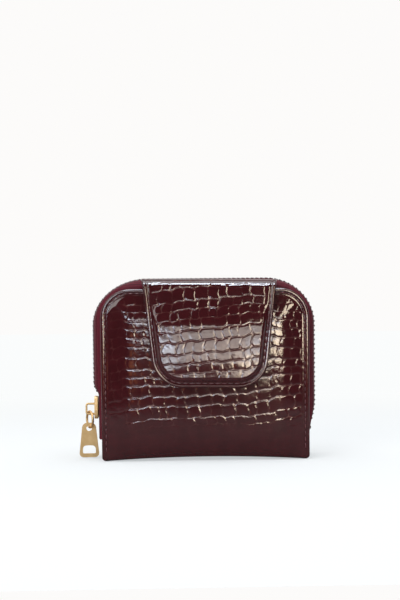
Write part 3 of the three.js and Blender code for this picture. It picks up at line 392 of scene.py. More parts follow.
def spread(tree, value, low, high):
    """A value from 0 to 1 spread over another range."""
    return add_node(tree, "MapRange", {"Value": value, "To Min": low, "To Max": high}, "Result")


def noise(tree, scale, detail=2):
    """Cloudy value in the piece's own space."""
    place = add_node(tree, "TexCoord", output="Object")
    return add_node(tree, "TexNoise", {"Vector": place, "Scale": scale, "Detail": detail}, "Fac")


def ramp(tree, value, dark, light, low=0.0, high=1.0):
    """Colour that changes from a dark one to a light one over a range of a value."""
    node = tree.nodes.new("ShaderNodeValToRGB")
    feed(tree, node, {"Fac": value})
    for stop, place, colour in zip(node.color_ramp.elements, (low, high), (dark, light)):
        stop.position, stop.color = place, (*colour, 1)
    return node.outputs["Color"]


def mixed(tree, share, first, second):
    """Colour between two others."""
    inputs = {"Factor": share, "A": first, "B": second}
    return add_node(tree, "Mix", inputs, "Result", data_type="RGBA")


def relief(tree, value, strength, height):
    """Fine relief that a value gives to the surface."""
    return add_node(tree, "Bump", {"Height": value, "Strength": strength, "Distance": height}, "Normal")


def new_material(name):
    """New material, its tree of nodes and its shader."""
    material = bpy.data.materials.new(name)
    material.use_nodes = True
    return material, material.node_tree, material.node_tree.nodes["Principled BSDF"]


def patent_leather(name, groove_share):
    """Embossed leather: clouded burgundy, paler grooves partly as painted highlight, fine pores and ripples.
    """
    material, tree, shader = new_material(name)
    tint = ramp(tree, noise(tree, 160, 3), (0.036, 0.0028, 0.0046), (0.045, 0.0042, 0.0064), 0.35, 0.7)
    groove = add_node(tree, "Attribute", output="Fac", attribute_name="groove")
    # Painted highlight, in part: the grooves are mixed towards a paler colour that stands in for their glints
    # as well as their own tint.
    amount = maths(tree, "MULTIPLY", groove, groove_share)
    waves = maths(tree, "MULTIPLY_ADD", noise(tree, 1500), 0.16, noise(tree, 420))
    feed(tree, shader, {
        "Base Color": mixed(tree, amount, tint, (0.20, 0.085, 0.070, 1)),
        "Roughness": spread(tree, groove, 0.09, 0.17),
        "Normal": relief(tree, waves, 0.35, 0.00012),
        "IOR": 1.5,
    })
    return material


cover_leather = patent_leather("burgundy_patent_leather", 0.5)

# Rolled edge, from the edge band outwards, as pairs of an inset and a depth: stitched channel, bead,
# side and turned-in back
COVER_RINGS = (
    (3.2, 0.0), (2.9, -0.03), (2.65, -0.12), (2.45, -0.2), (2.2, -0.2), (2.0, -0.12), (1.75, -0.02),
    (1.4, 0.03), (1.0, 0.05), (0.65, 0.02), (0.38, -0.08), (0.17, -0.24), (0.04, -0.45), (0.0, -0.7),
    (0.08, -0.95), (0.3, -1.13), (0.65, -1.2), (2.0, -1.2),
)
COVER_CORNERS = rectangle((-COVER_HALF, 0), (COVER_HALF, COVER_LENGTH))
FOOT_ROUND = 3.4


def spine_arch(across, rise=0.0, fade=1.0):
    """Height by which the spine and a foot on it arch upwards, fading out with the rise above them."""
    return SPINE_ARCH * (1 - (across / COVER_HALF) ** 2) * (1 - smooth(rise, 0, fade))


def wrapped(side):
    """Places a cover's sheet: flat under the spine, a quarter turn at the fold, then straight up.
    side is -1 for the front cover and 1 for the rear one. The spine and the foot arch upwards, and
    the corners of the foot are drawn in along a quarter circle."""
    def place(across, along, outward):
        below = np.clip(FOOT_ROUND - along + SPINE_HALF, 0, FOOT_ROUND)
        pull = FOOT_ROUND - np.sqrt(FOOT_ROUND ** 2 - below ** 2)
        across = across - pull * (across / COVER_HALF) ** 11
        turn = np.clip((along - SPINE_HALF) / FOLD_RADIUS, 0, math.pi / 2)
        flat = np.minimum(along, SPINE_HALF)
        rise = np.maximum(along - SPINE_HALF - FOLD_ARC, 0)
        depth = flat + (FOLD_RADIUS + outward) * np.sin(turn)
        height = FOLD_RADIUS - (FOLD_RADIUS + outward) * np.cos(turn) + rise
        height = height + spine_arch(across, rise, ARCH_FADE)
        return np.stack([-side * across, side * depth, height], -1)
    return place


PAD_RISE = 1.9
SCALE_HEIGHT = 0.16
# The padding's slant starts at the edge band and fades out into the plateau between two distances. The
# scales fade at the foot and on the left.
SLANT_FADES = (11.0, 19.5)
CORNER_SLANT = 0.4
RIDGE_ROUND = 1.1
SWELL_RUN = 9
FOOT_FADE = (14, 23)
LEFT_FADE = (-44, -38)
slant_run = np.linspace(0, 24, 400)
slant = (slant_run > EDGE_BAND) * (1 - smooth(slant_run, *SLANT_FADES))
slant_rise = PAD_RISE * np.cumsum(slant) / slant.sum()


def front_face(points, edge):
    """Height and groove of the front cover: a plateau behind a slanted border whose faces meet in
    ridges, and scales that fade towards the edge, along the left side and at the foot."""
    across, along = points[..., 0], points[..., 1]
    sides = np.stack([COVER_HALF + across, COVER_HALF - across, COVER_LENGTH - along])
    nearest = -RIDGE_ROUND * np.log(np.exp(-sides / RIDGE_ROUND).sum(0))
    plateau = np.interp(nearest, slant_run, slant_rise)
    foot = along - SPINE_HALF - FOLD_ARC
    swell = np.clip(foot / SWELL_RUN, 0, 1)
    plateau = np.minimum(plateau, CORNER_SLANT * np.maximum(edge - EDGE_BAND, 0))
    plateau *= np.sqrt(1 - (1 - swell) ** 2)
    height, groove = scales(across, along, 11, 5.5, 0.066, (3.6, 7.4))
    strength = smooth(edge, EDGE_BAND, 5.0) * (0.07 + 0.93 * smooth(foot, *FOOT_FADE))
    strength = strength * (0.3 + 0.7 * smooth(across, *LEFT_FADE))
    return plateau + SCALE_HEIGHT * strength * (height - 1), groove * strength


front_cover = leather_sheet(
    "front_cover", COVER_CORNERS, COVER_CORNER, COVER_COUNTS, COVER_RINGS, front_face, wrapped(-1),
)
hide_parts("front_panel", "front_panel_foam", "fold_front", "spine_cover")
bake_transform(front_cover)


# Lockstitches round the front cover: burgundy bonded thread, laid in the pressed channel near the
# edge. Each visible stitch is a short, slightly arched length of thread with both ends sunk.
STITCH_INSET = 2.3
STITCH_PITCH = 3.3
STITCH_SHARE = 0.74
STITCH_DEPTH = -0.2
THREAD = 0.27
LINE_POINTS = (400, 400, 400)


def speckled(name, scale, detail, dark, light, strength, height, roughness):
    """Plain material with a fine noise that gives its colour, between two, and its relief."""
    material, tree, shader = new_material(name)
    grain = noise(tree, scale, detail)
    feed(tree, shader, {
        "Base Color": ramp(tree, grain, dark, light), "Normal": relief(tree, grain, strength, height),
        "Roughness": roughness,
    })
    return material


def tubes(name, points, material):
    """Tubes closed at both ends, from points by tube, ring and corner. The faces are turned round
    where the volume of the first tube about its own middle comes out negative."""
    index = np.arange(points.size // 3).reshape(points.shape[:3])
    after = np.roll(index, -1, 2)
    sides = np.stack([index[:, :-1], after[:, :-1], after[:, 1:], index[:, 1:]], -1)
    faces = [sides.reshape(-1, 4), index[:, 0, ::-1], index[:, -1]]
    flat = points.reshape(-1, 3)
    first = flat[sides[0].reshape(-1, 4)] - points[0].mean((0, 1))
    a, b, c, d = (first[:, k] for k in range(4))
    if (a * (np.cross(b, c) + np.cross(c, d))).sum() < 0:
        faces = [face[:, ::-1] for face in faces]
    return add_mesh(name, flat, faces, material)


def stitches(name, corners, corner_radius, place, margin):
    """Row of stitches along the outline's inset, which leaves a margin at both ends. A stitch is a
    tube: its thickness follows a half ellipse along its length and its middle stands proud."""
    line = np.concatenate(rounded_path(corners, corner_radius, STITCH_INSET, LINE_POINTS))
    run = length_along(line)
    last = run[-1] - margin
    count = int((last - margin) / STITCH_PITCH)
    start = margin + np.arange(count)[:, None] * (last - margin) / count
    share = np.linspace(0, 1, 7)[None, :]
    along = start + STITCH_PITCH * STITCH_SHARE * share
    middle = np.stack([np.interp(along, run, line[:, axis]) for axis in (0, 1)], -1)
    ahead = np.stack([np.interp(along + 0.05, run, line[:, axis]) for axis in (0, 1)], -1) - middle
    ahead /= np.linalg.norm(ahead, axis=-1, keepdims=True)
    radius = THREAD * np.sqrt(np.clip(1 - (2 * share - 1) ** 2, 0.02, 1))
    angle = np.linspace(0, 2 * np.pi, 8, endpoint=False)
    sideways = radius[..., None] * np.cos(angle)
    proud = (THREAD * np.sin(np.pi * share) * 0.9)[..., None]
    lift = STITCH_DEPTH + proud + radius[..., None] * np.sin(angle)
    x = middle[..., None, 0] + ahead[..., None, 1] * sideways
    y = middle[..., None, 1] - ahead[..., None, 0] * sideways
    return tubes(name, place(x, y, np.broadcast_to(lift, x.shape)), thread)


thread = speckled(
    "burgundy_thread", 2600, 2, (0.055, 0.008, 0.013), (0.15, 0.035, 0.045), 0.3, 0.00005, 0.28,
)
SEAM_START = SPINE_HALF + FOLD_ARC + 3.0
front_stitches = stitches("front_stitches", COVER_CORNERS, COVER_CORNER, wrapped(-1), SEAM_START)
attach(front_stitches, "front_half")


# Flap: a second sheet of the same leather, sewn behind the front cover, bent over its top and padded
# below the bend. A smooth border with a stitched channel and a rolled edge runs round it.
FLAP_MIDDLE = 2.3
FLAP_TOP_HALF = 36.1
FLAP_FOOT_HALF = 28.8
FLAP_HINGE = -8.7
FLAP_BEND_AT = -14.3
FLAP_OUTER_RADIUS = 4.7
FLAP_BEND_Z = 90.6
FLAP_FOOT_Z = 38.7
FLAP_CORNER = 16.0
FLAP_LAP = FLAP_HINGE - FLAP_BEND_AT
FLAP_ARC = FLAP_OUTER_RADIUS * math.pi / 2
FLAP_LENGTH = FLAP_LAP + FLAP_ARC + FLAP_BEND_Z - FLAP_FOOT_Z
FLAP_THICK = 1.6
SKIVED = 0.3
# Form below the bend: length of the drop, height of the crown and of the pad, and how much fuller the
# pad gets, the two shares by which the flap leans off the cover, and how much higher its left end is
FLAP_DROP = 52.0
FLAP_CROWN = 0.35
FLAP_RISE = 1.15
FLAP_FULLER = 0.9
FLAP_LEAN = (1.5, 0.8)
FLAP_LEAN_RUN = 8.0
FLAP_SKEW = 0.45
FLAP_COUNTS = (241, 209, 241)
FLAP_SEAM_START = 16.0
FLAP_CORNERS = (
    (-FLAP_TOP_HALF, 0), (-FLAP_FOOT_HALF, FLAP_LENGTH), (FLAP_FOOT_HALF, FLAP_LENGTH), (FLAP_TOP_HALF, 0),
)
FLAP_RINGS = (
    (3.25, 0.0), (3.0, -0.05), (2.75, -0.14), (2.5, -0.2), (2.25, -0.2), (2.0, -0.12), (1.75, 0.0),
    (1.4, 0.1), (1.0, 0.16), (0.62, 0.13), (0.34, 0.02), (0.14, -0.16), (0.03, -0.4), (0.0, -0.7),
    (0.06, -1.05), (0.25, -1.35), (0.6, -1.55), (2.0, -1.6),
)


def over_the_top(across, along, outward):
    """Places the flap's sheet: forwards from the seam, a quarter turn over the top, then down. It
    leans off the cover, by an even share of its drop and by one that ends near the bend, and its
    left end sits a little higher than its right one. Towards the seam the leather is skived thin."""
    skived = SKIVED + (1 - SKIVED) * smooth(along, 0, FLAP_LAP)
    outward = (outward + FLAP_THICK) * skived - FLAP_THICK
    turn = np.clip((along - FLAP_LAP) / FLAP_OUTER_RADIUS, 0, math.pi / 2)
    flat = np.minimum(along, FLAP_LAP)
    drop = np.maximum(along - FLAP_LAP - FLAP_ARC, 0)
    radius = FLAP_OUTER_RADIUS + outward
    lean = FLAP_LEAN[0] * drop / FLAP_DROP + FLAP_LEAN[1] * (1 - np.exp(-drop / FLAP_LEAN_RUN))
    depth = FLAP_HINGE - flat - radius * np.sin(turn) - lean
    height = FLAP_BEND_Z + radius * np.cos(turn) - drop + FLAP_SKEW * across / FLAP_TOP_HALF
    return np.stack([FLAP_MIDDLE - across, depth, height], -1)


def flap_face(points, edge):
    """Height and groove of the flap: a crowned pad inside the border, fullest near its foot over
    the magnet, and the same scales."""
    across, along = points[..., 0], points[..., 1]
    drop = along - FLAP_LAP - FLAP_ARC
    inside = smooth(drop, 6, 20)
    slant = np.clip((edge - 3.0) / 2.4, 0, 1)
    width = np.clip(1 - (across / 33) ** 2, 0, 1)
    belly = FLAP_CROWN * width * smooth(edge, 2.5, 14) * np.sin(np.clip(drop / FLAP_DROP, 0, 1) * np.pi)
    filling = FLAP_RISE + FLAP_FULLER * np.clip(drop / FLAP_DROP, 0, 1)
    pad = inside * filling * np.sin(slant * np.pi / 2) + belly
    height, groove = scales(-across, -along, 5, 5.6, 0.07, (3.9, 7.8))
    strength = smooth(edge, 3.6, 5.2) * smooth(along, 2, 8)
    return pad + SCALE_HEIGHT * strength * (height - 1), groove * strength


flap_leather = leather_sheet(
    "flap_leather", FLAP_CORNERS, FLAP_CORNER, FLAP_COUNTS, FLAP_RINGS, flap_face, over_the_top,
)
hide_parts("flap_outer", "flap_foam")
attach(flap_leather, "flap")
flap_stitches = stitches("flap_stitches", FLAP_CORNERS, FLAP_CORNER, over_the_top, FLAP_SEAM_START)
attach(flap_stitches, "flap")


# Flap's lining: fine woven polyester, glued to the back of the flap a little short of its edge
SHEET_ROUND = 0.12
FLAP_LINING_INSET = 1.3


def thin_sheet(name, corners, corner_radius, counts, near, far, place, material):
    """Closed thin sheet with a rounded rim: a near and a far level inside the outline, and a line
    round its full size midway between them. A level is a number or a function of the points."""
    grid = filled(rounded_path(corners, corner_radius, SHEET_ROUND, counts))
    wide = filled(rounded_path(corners, corner_radius, 0.0, counts)).reshape(-1, 2)
    rows, columns = grid.shape[:2]
    index = np.arange(rows * columns).reshape(rows, columns)
    rim = np.concatenate([rim_of(index), index[0, -2:0:-1]])
    levels = [level(grid) if callable(level) else np.full((rows, columns), level) for level in (near, far)]
    points = [place(grid[..., 0], grid[..., 1], level).reshape(-1, 3) for level in levels]
    points.append(place(wide[rim, 0], wide[rim, 1], (levels[0] + levels[1]).ravel()[rim] / 2))
    total = rows * columns
    after = np.roll(rim, -1)
    ring = 2 * total + np.arange(len(rim))
    following = np.roll(ring, -1)
    faces = [
        grid_faces(rows, columns), grid_faces(rows, columns, total)[:, ::-1],
        np.stack([rim, after, following, ring], 1),
        np.stack([ring, following, after + total, rim + total], 1),
    ]
    return add_mesh(name, np.concatenate(points), faces, material)


def woven(name, scale, dark, light, roughness, sheen):
    """Woven cloth: waves along the three axes stand for its threads, which tint and lift it."""
    material, tree, shader = new_material(name)
    settings = {"Vector": add_node(tree, "TexCoord", output="Object"), "Scale": scale, "Distortion": 0.6}
    warp, through, weft = (add_node(tree, "TexWave", settings, "Fac", bands_direction=axis) for axis in "XYZ")
    cross = maths(tree, "ADD", maths(tree, "MULTIPLY", warp, weft), through)
    feed(tree, shader, {
        "Base Color": ramp(tree, cross, dark, light), "Normal": relief(tree, cross, 0.5, 0.00012),
        "Roughness": roughness, "Specular IOR Level": 0.15,
        "Sheen Weight": sheen, "Sheen Roughness": 0.4, "Sheen Tint": (0.8, 0.3, 0.38, 1),
    })
    return material


lining_cloth = woven("lining_twill", 420, (0.050, 0.006, 0.012), (0.115, 0.018, 0.031), 0.6, 0.06)
lining_corners = tuple((x * (1 - FLAP_LINING_INSET / abs(x)), s) for x, s in FLAP_CORNERS)
lining_corners = tuple((x, s - FLAP_LINING_INSET if s else 0) for x, s in lining_corners)
flap_lining = thin_sheet(
    "flap_lining_cloth", lining_corners, FLAP_CORNER, (81, 41, 81), -1.5, -1.8, over_the_top, lining_cloth,
)
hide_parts("flap_lining")
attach(flap_lining, "flap")


# Rear cover: the other end of the cover leather, embossed all over but not padded. It wraps from the
# middle of the spine round the rear fold.
REAR_COUNTS = (201, 193, 201)


def rear_face(points, edge):
    """Height and groove of the rear cover: scales only, which fade towards the edge and the foot."""
    across, along = points[..., 0], points[..., 1]
    foot = along - SPINE_HALF - FOLD_ARC
    height, groove = scales(across, along, 23, 5.6, 0.05, (3.9, 7.6))
    strength = smooth(edge, 3.6, 6.5) * (0.3 + 0.7 * smooth(foot, 6, 20))
    return SCALE_HEIGHT * strength * (height - 1), groove * strength


rear_cover = leather_sheet(
    "rear_cover_leather", COVER_CORNERS, COVER_CORNER, REAR_COUNTS, COVER_RINGS, rear_face, wrapped(1),
)
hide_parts("rear_cover", "fold_rear")
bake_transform(rear_cover)
rear_stitches = stitches("rear_stitches", COVER_CORNERS, COVER_CORNER, wrapped(1), SEAM_START)
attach(rear_stitches, "rear_half")


# Main zip's tapes: woven polyester, sewn flat inside the covers' edges, turned outwards there and
# running on as the wallet's side wall up to the chain. On the left they are tucked in at the slider.
CHAIN_MIDDLE = 3.1
TAPE_THICK = 0.8
TAPE_FOOT = 11.0
TAPE_EDGE_GAP = 1.85
TUCK_LOW, TUCK_HIGH = 33.8, 40.5
FOOT_LOW, FOOT_HIGH = 9.0, 30.0
FOOT_SHARE = 1.55
TAPE_SHARES = (0.35, 0.62, 0.82, 0.94, 1.0)
TAPE_BEND = 2.6
# Lines that the tape passes along its width: half width, top, corner radius, tuck, and how much
# wider than high the left and the right corner are. Stations lie on a side, a corner and the top.
SEAM_LINE = (49.75, 85.4, 10.5, 0.0, 1.0, 1.0)
TURN_LINE = (56.35, 91.7, 17.1, 0.8, 1.0, 1.0)
CHAIN_LINE = (58.8, 95.4, 24.0, 2.2, 1.2, 1.06)
TAPE_STATIONS = (90, 60, 120)


def zip_line(line):
    """Points of a line along the zip: up the left side, round a quarter oval, across the top,
    round the other corner and down the right side, where its foot is drawn in a little."""
    half, top, radius, tuck, *stretch = line
    side, corner, across = TAPE_STATIONS
    rise = np.linspace(TAPE_FOOT, top - radius, side, endpoint=False)
    angle = np.pi * (1 - 0.5 * np.linspace(0, 1, corner, endpoint=False))
    left_tuck = tuck * (1 - smooth(rise, TUCK_LOW, TUCK_HIGH))
    right_tuck = FOOT_SHARE * tuck * (1 - smooth(rise, FOOT_LOW, FOOT_HIGH))
    z = np.concatenate([rise, top - radius + radius * np.sin(angle), np.full(across // 2, top)])
    sides = []
    for drawn_in, wider in zip((left_tuck, right_tuck), stretch):
        wide = radius * wider
        level = np.linspace(-(half - wide), 0, across // 2)
        sides.append(np.concatenate([drawn_in - half, wide - half + wide * np.cos(angle), level]))
    return np.stack([np.concatenate([sides[0], -sides[1][-2::-1]]), np.concatenate([z, z[-2::-1]])], 1)


def along_zip(section):
    """Points of a section carried along the zip; each of its points is a line and a depth."""
    paths = [(zip_line(line), depth) for line, depth in section]
    return np.stack([np.stack([p[:, 0], np.full(len(p), y), p[:, 1]], 1) for p, y in paths], 1)[None]


def between(line_a, line_b, share):
    """Line part of the way from one to another."""
    return tuple(a + (b - a) * share for a, b in zip(line_a, line_b))


def grown(line, by):
    """Line moved outwards."""
    half, top, radius, *rest = line
    return half + by, top + by, radius + by, *rest


tape_cloth = woven("woven_zip_tape", 230, (0.030, 0.0016, 0.0045), (0.105, 0.0070, 0.0175), 0.8, 0.03)
outer_line, inner_line = grown(CHAIN_LINE, TAPE_THICK / 2), grown(CHAIN_LINE, -TAPE_THICK / 2)
for body, node, side, seam_far, seam_near in (
    ("front_half", "zip_tape_front", 1, -7.6, -6.8),
    ("rear_half", "zip_tape_rear", -1, 13.8, 13.0),
):
    edge = CHAIN_MIDDLE - side * TAPE_EDGE_GAP
    inwards, outwards = (
        [(between(TURN_LINE, line, s), seam + (edge - seam) * s ** TAPE_BEND) for s in TAPE_SHARES]
        for line, seam in ((inner_line, seam_near), (outer_line, seam_far))
    )
    section = [(SEAM_LINE, seam_far), (SEAM_LINE, seam_near), (TURN_LINE, seam_near)]
    section += [*inwards, *outwards[::-1], (TURN_LINE, seam_far)]
    tape = tubes(node + "_cloth", along_zip(section), tape_cloth)
    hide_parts(node)
    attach(tape, body)


# Main zip's teeth: moulded resin, one every 2.5 mm on each tape's edge, the two rows set half a
# pitch apart so that the heads of one sit between those of the other. A stop ends them at the foot.
TOOTH_PITCH = 2.5
CHAIN_FOOT_LEFT = 36.0
CHAIN_FOOT_RIGHT = 17.0
STOP_MIDDLE = 15.4
# Along a tooth, from the tape to its tip: distance from the tape's edge, half width, half height
TOOTH_PROFILE = np.array([
    (-0.3, 0.45, 0.85), (-0.2, 0.6, 0.95), (0.05, 0.66, 1.0), (0.45, 0.66, 1.0), (0.75, 0.46, 0.92),
    (1.15, 0.42, 0.88), (1.55, 0.58, 0.88), (2.15, 0.58, 0.86), (2.5, 0.42, 0.72), (2.6, 0.2, 0.45),
])
STOP_PROFILE = np.array([
    (-0.3, 0.6, 0.8), (0.0, 0.9, 1.2), (0.4, 1.0, 1.35), (3.3, 1.0, 1.35), (3.7, 0.9, 1.2), (4.0, 0.6, 0.8),
])
# Round rectangle of eight points, in shares of the half width and the half height
TOOTH_CORNERS = np.array([
    (1, 0.55), (0.6, 1), (-0.6, 1), (-1, 0.55), (-1, -0.55), (-0.6, -1), (0.6, -1), (1, -0.55),
])

resin = speckled(
    "moulded_resin", 900, 3, (0.028, 0.0030, 0.0062), (0.062, 0.0085, 0.0150), 0.25, 0.00006, 0.3,
)
chain_points = zip_line(CHAIN_LINE)
chain_run = length_along(chain_points)
half_way = len(chain_points) // 2
chain_start = np.interp(CHAIN_FOOT_LEFT, chain_points[:half_way, 1], chain_run[:half_way])
chain_end, stop_place = (
    np.interp(-height, -chain_points[half_way:, 1], chain_run[half_way:])
    for height in (CHAIN_FOOT_RIGHT, STOP_MIDDLE)
)


def teeth(name, profile, lengths, edge, side):
    """Teeth at the given lengths along the chain's line: each is a round rectangle, carried from the
    tape's edge to the tip, whose width follows the chain and whose height stands square to it."""
    ahead = np.gradient(chain_points, axis=0)
    ahead /= np.linalg.norm(ahead, axis=1)[:, None]
    x, z, ax, az = (
        np.interp(lengths, chain_run, values)[:, None, None] for values in (*chain_points.T, *ahead.T)
    )
    across = profile[None, :, 1, None] * TOOTH_CORNERS[None, None, :, 0]
    up = profile[None, :, 2, None] * TOOTH_CORNERS[None, None, :, 1]
    depth = np.broadcast_to(edge + side * profile[None, :, 0, None], (len(lengths), len(profile), 8))
    points = np.stack([x + ax * across - az * up, depth, z + az * across + ax * up], -1)
    return tubes(name, points, resin)


for body, node, side, shift in (
    ("front_half", "zip_teeth_front", 1, 0.25), ("rear_half", "zip_teeth_rear", -1, 0.75),
):
    places = np.arange(chain_start + shift * TOOTH_PITCH, chain_end - TOOTH_PITCH / 2, TOOTH_PITCH)
    row = teeth(node + "_row", TOOTH_PROFILE, places, CHAIN_MIDDLE - side * TAPE_EDGE_GAP, side)
    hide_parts(node)
    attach(row, body)
end_stop = teeth("end_stop", STOP_PROFILE, np.array([stop_place]), CHAIN_MIDDLE + TAPE_EDGE_GAP, -1)
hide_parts("zip_end_stop")
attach(end_stop, "rear_half")


# Slider, its bridge, the ring and the pull tab: zinc castings, plated satin gold. The tab has an eye
# for the ring and a half-moon slot, and hangs with its face to the front. Their edges are tumbled round.
SHARP_EDGE = math.radians(35)
FLAT_FACE = math.radians(26)
FLAT_JOIN = math.radians(2)
TAB_TURN = math.radians(-24)
TAB_LEFTWARDS = 0.5


def satin_gold():
    """Satin plating: worn brighter and smoother in clouds, over a very fine grain."""
    material, tree, shader = new_material("satin_gold")
    wear = noise(tree, 260, 4)
    feed(tree, shader, {
        "Base Color": ramp(tree, wear, (0.74, 0.50, 0.24), (0.86, 0.62, 0.33), 0.3, 0.7),
        "Roughness": spread(tree, wear, 0.36, 0.50),
        "Normal": relief(tree, noise(tree, 3000), 0.15, 0.00004),
        "Metallic": 1.0,
    })
    return material


def softened(name, node, material, width, turn=0.0, leftwards=0.0):
    """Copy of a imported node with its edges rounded: the loose triangles are merged, flat ones are
    joined into whole faces, and a bevel of the given width in millimetres runs along the edges.
    It may be turned about the upright line through its middle and moved to the left."""
    source = frame["nodes"][node]
    shape = bmesh.new()
    shape.from_mesh(source.data)
    bmesh.ops.remove_doubles(shape, verts=shape.verts, dist=0.01 * MM)
    bmesh.ops.dissolve_limit(shape, angle_limit=FLAT_JOIN, verts=shape.verts, edges=shape.edges)
    corners = [edge for edge in shape.edges if edge.is_manifold and edge.calc_face_angle() > SHARP_EDGE]
    bmesh.ops.bevel(
        shape, geom=corners, offset=width * MM, segments=2, profile=0.5, affect="EDGES", clamp_overlap=True,
    )
    middle = Vector(np.mean(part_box(node), axis=0))
    bmesh.ops.rotate(shape, cent=middle, matrix=Matrix.Rotation(turn, 3, "Z"), verts=shape.verts)
    bmesh.ops.translate(shape, vec=(-leftwards * MM, 0, 0), verts=shape.verts)
    mesh = bpy.data.meshes.new(name)
    shape.to_mesh(mesh)
    shape.free()
    mesh.polygons.foreach_set("use_smooth", np.ones(len(mesh.polygons), bool))
    mesh.set_sharp_from_angle(angle=FLAT_FACE)
    mesh.materials.append(material)
    piece = bpy.data.objects.new(name, mesh)
    bpy.context.scene.collection.objects.link(piece)
    even = piece.modifiers.new("even_shading", "WEIGHTED_NORMAL")
    even.keep_sharp = True
    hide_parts(node)
    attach(piece, source["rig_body"])
    return piece


gold = satin_gold()
softened("slider_casting", "slider_body", gold, 0.28)
softened("slider_bridge_casting", "slider_bridge", gold, 0.3)
softened("pull_tab_casting", "pull_tab", gold, 0.3, TAB_TURN, TAB_LEFTWARDS)

# Ring: a torus about the middle of its node, turned with it
RING_TURN = math.radians(25)
RING_RADIUS, RING_WIRE = 4.3, 0.65
RING_STEPS, WIRE_STEPS = 72, 20


def box_of(node):
    """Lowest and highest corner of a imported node."""
    return [np.array(corner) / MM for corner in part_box(node)]


def pull_ring():
    """Closed grid of the angle round the ring and the angle round its wire."""
    low, high = box_of("pull_ring")
    centre = (low + high) / 2
    round_ring = np.linspace(0, 2 * np.pi, RING_STEPS, endpoint=False)[:, None]
    round_wire = np.linspace(0, 2 * np.pi, WIRE_STEPS, endpoint=False)[None, :]
    reach = RING_RADIUS + RING_WIRE * np.cos(round_wire)
    flat, thick = reach * np.cos(round_ring), RING_WIRE * np.sin(round_wire) + 0 * round_ring
    across = np.sin(RING_TURN) * flat + np.cos(RING_TURN) * thick
    depth = -np.cos(RING_TURN) * flat + np.sin(RING_TURN) * thick
    points = centre + np.stack([across, depth, reach * np.sin(round_ring)], -1)
    index = np.arange(RING_STEPS * WIRE_STEPS).reshape(RING_STEPS, WIRE_STEPS)
    ahead, beside = np.roll(index, -1, 0), np.roll(index, -1, 1)
    faces = np.stack([index, beside, np.roll(ahead, -1, 1), ahead], -1).reshape(-1, 4)
    return add_mesh("pull_ring_wire", points.reshape(-1, 3), [faces], gold)


ring = pull_ring()
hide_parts("pull_ring")
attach(ring, "pull_ring")


# Inside of the front half: the slip pocket behind the padded cover with its lining, sides and leather
# back wall, the flap's sewn root, and behind them the board, the lining and three stepped card pockets
HEM_RISE = 0.18
HEM_EDGE = 0.3
POCKET_HEM = 3.2
CARD_CORNER = 2.5
CARD_SEAM_LIFT = HEM_RISE + 0.22
FOLD_IN = 1.6
SIDE_WALL = 0.8
SHEET_COUNTS = (41, 49, 41)
SHEET_FADE = 14
CLOTH = ("lining_cloth", lining_cloth)
LEATHER = ("patent_leather", patent_leather("burgundy_wall_leather", 0.0))


def upright_sheet(name, node, facing, corner, made_of, bulge=0.0, hem=0.0, arched=False):
    """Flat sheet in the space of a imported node, facing the front (-1) or the back (1). It bulges in
    the middle, is thicker over a hem along its top, and where arched its foot follows the spine."""
    low, high = box_of(node)
    middle = (low[0] + high[0]) / 2
    half, foot, top = (high[0] - low[0]) / 2, low[2], high[2]
    level = low[1] if facing < 0 else high[1]

    def place(across, height, outward):
        depth = level + facing * outward + 0 * across
        rise = spine_arch(across, height - foot, SHEET_FADE) if arched else 0
        return np.stack([middle - facing * across, depth, height + rise + 0 * across], -1)

    def outer(points):
        across, height = points[..., 0] / half, (points[..., 1] - foot) / (top - foot)
        round_bulge = bulge * np.clip(1 - across ** 2, 0, 1) * np.sin(np.pi * np.clip(height, 0, 1))
        folded = smooth(points[..., 1], top - hem - HEM_EDGE, top - hem) if hem else 0
        return round_bulge + HEM_RISE * folded

    def inner(points):
        return outer(points) - (high[1] - low[1])

    corners = rectangle((-half, foot), (half, top))
    slot, material = made_of
    piece = thin_sheet(name, corners, corner, SHEET_COUNTS, outer, inner, place, material)
    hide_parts(node)
    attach(piece, frame["nodes"][node]["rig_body"])
    return corners, place


upright_sheet("slip_pocket_lining", "front_pocket_lining", 1, 13.3, CLOTH)
upright_sheet("slip_pocket_wall", "front_wall", -1, 15.5, LEATHER)
upright_sheet("flap_sewn_root", "flap_root", -1, 2.0, LEATHER)
upright_sheet("front_inner_lining", "front_lining", 1, 14.0, CLOTH)


def card_pocket(node, facing):
    """Card pocket with a hem along its top, and a row of stitches up its sides and along its hem."""
    corners, place = upright_sheet(node + "_cloth", node, facing, CARD_CORNER, CLOTH, hem=POCKET_HEM)

    def on_cloth(across, height, outward):
        return place(across, height, outward * 0.6 + CARD_SEAM_LIFT)

    seam = stitches(node + "_seam", corners, CARD_CORNER, on_cloth, 2.0)
    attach(seam, frame["nodes"][node]["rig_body"])


for step in (1, 2, 3):
    card_pocket(f"front_card_pocket_{step}", 1)


def gusset(name, node, start, wall, fold, made_of, foot_corner, arched=False):
    """Side and foot strip that joins two sheets: a wall folded inwards along its middle, carried down
    the left side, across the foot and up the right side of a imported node."""
    (_, near, foot), (half, far, top) = box_of(node)
    middle = (near + far) / 2
    corners = rectangle((-half, -top), (half, -foot))
    section = [
        (start, near), (start + fold * 0.7, near + (middle - near) * 0.6), (start + fold, middle),
        (start + fold * 0.7, far - (far - middle) * 0.6), (start, far),
    ]
    section += [(inset + wall, depth) for inset, depth in section[::-1]]
    rows = []
    for inset, depth in section:
        path = joined(rounded_path(corners, foot_corner, inset, (25, 41, 25)))
        height = -path[:, 1]
        if arched:
            height = height + spine_arch(path[:, 0], height - foot, SHEET_FADE)
        rows.append(np.stack([path[:, 0], np.full(len(path), depth), height], 1))
    slot, material = made_of
    piece = tubes(name, np.stack(rows, 1)[None], material)
    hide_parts(node)
    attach(piece, frame["nodes"][node]["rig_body"])


gusset("slip_pocket_gusset", "front_pocket_side", 0.15, SIDE_WALL, FOLD_IN, LEATHER, 4.0)


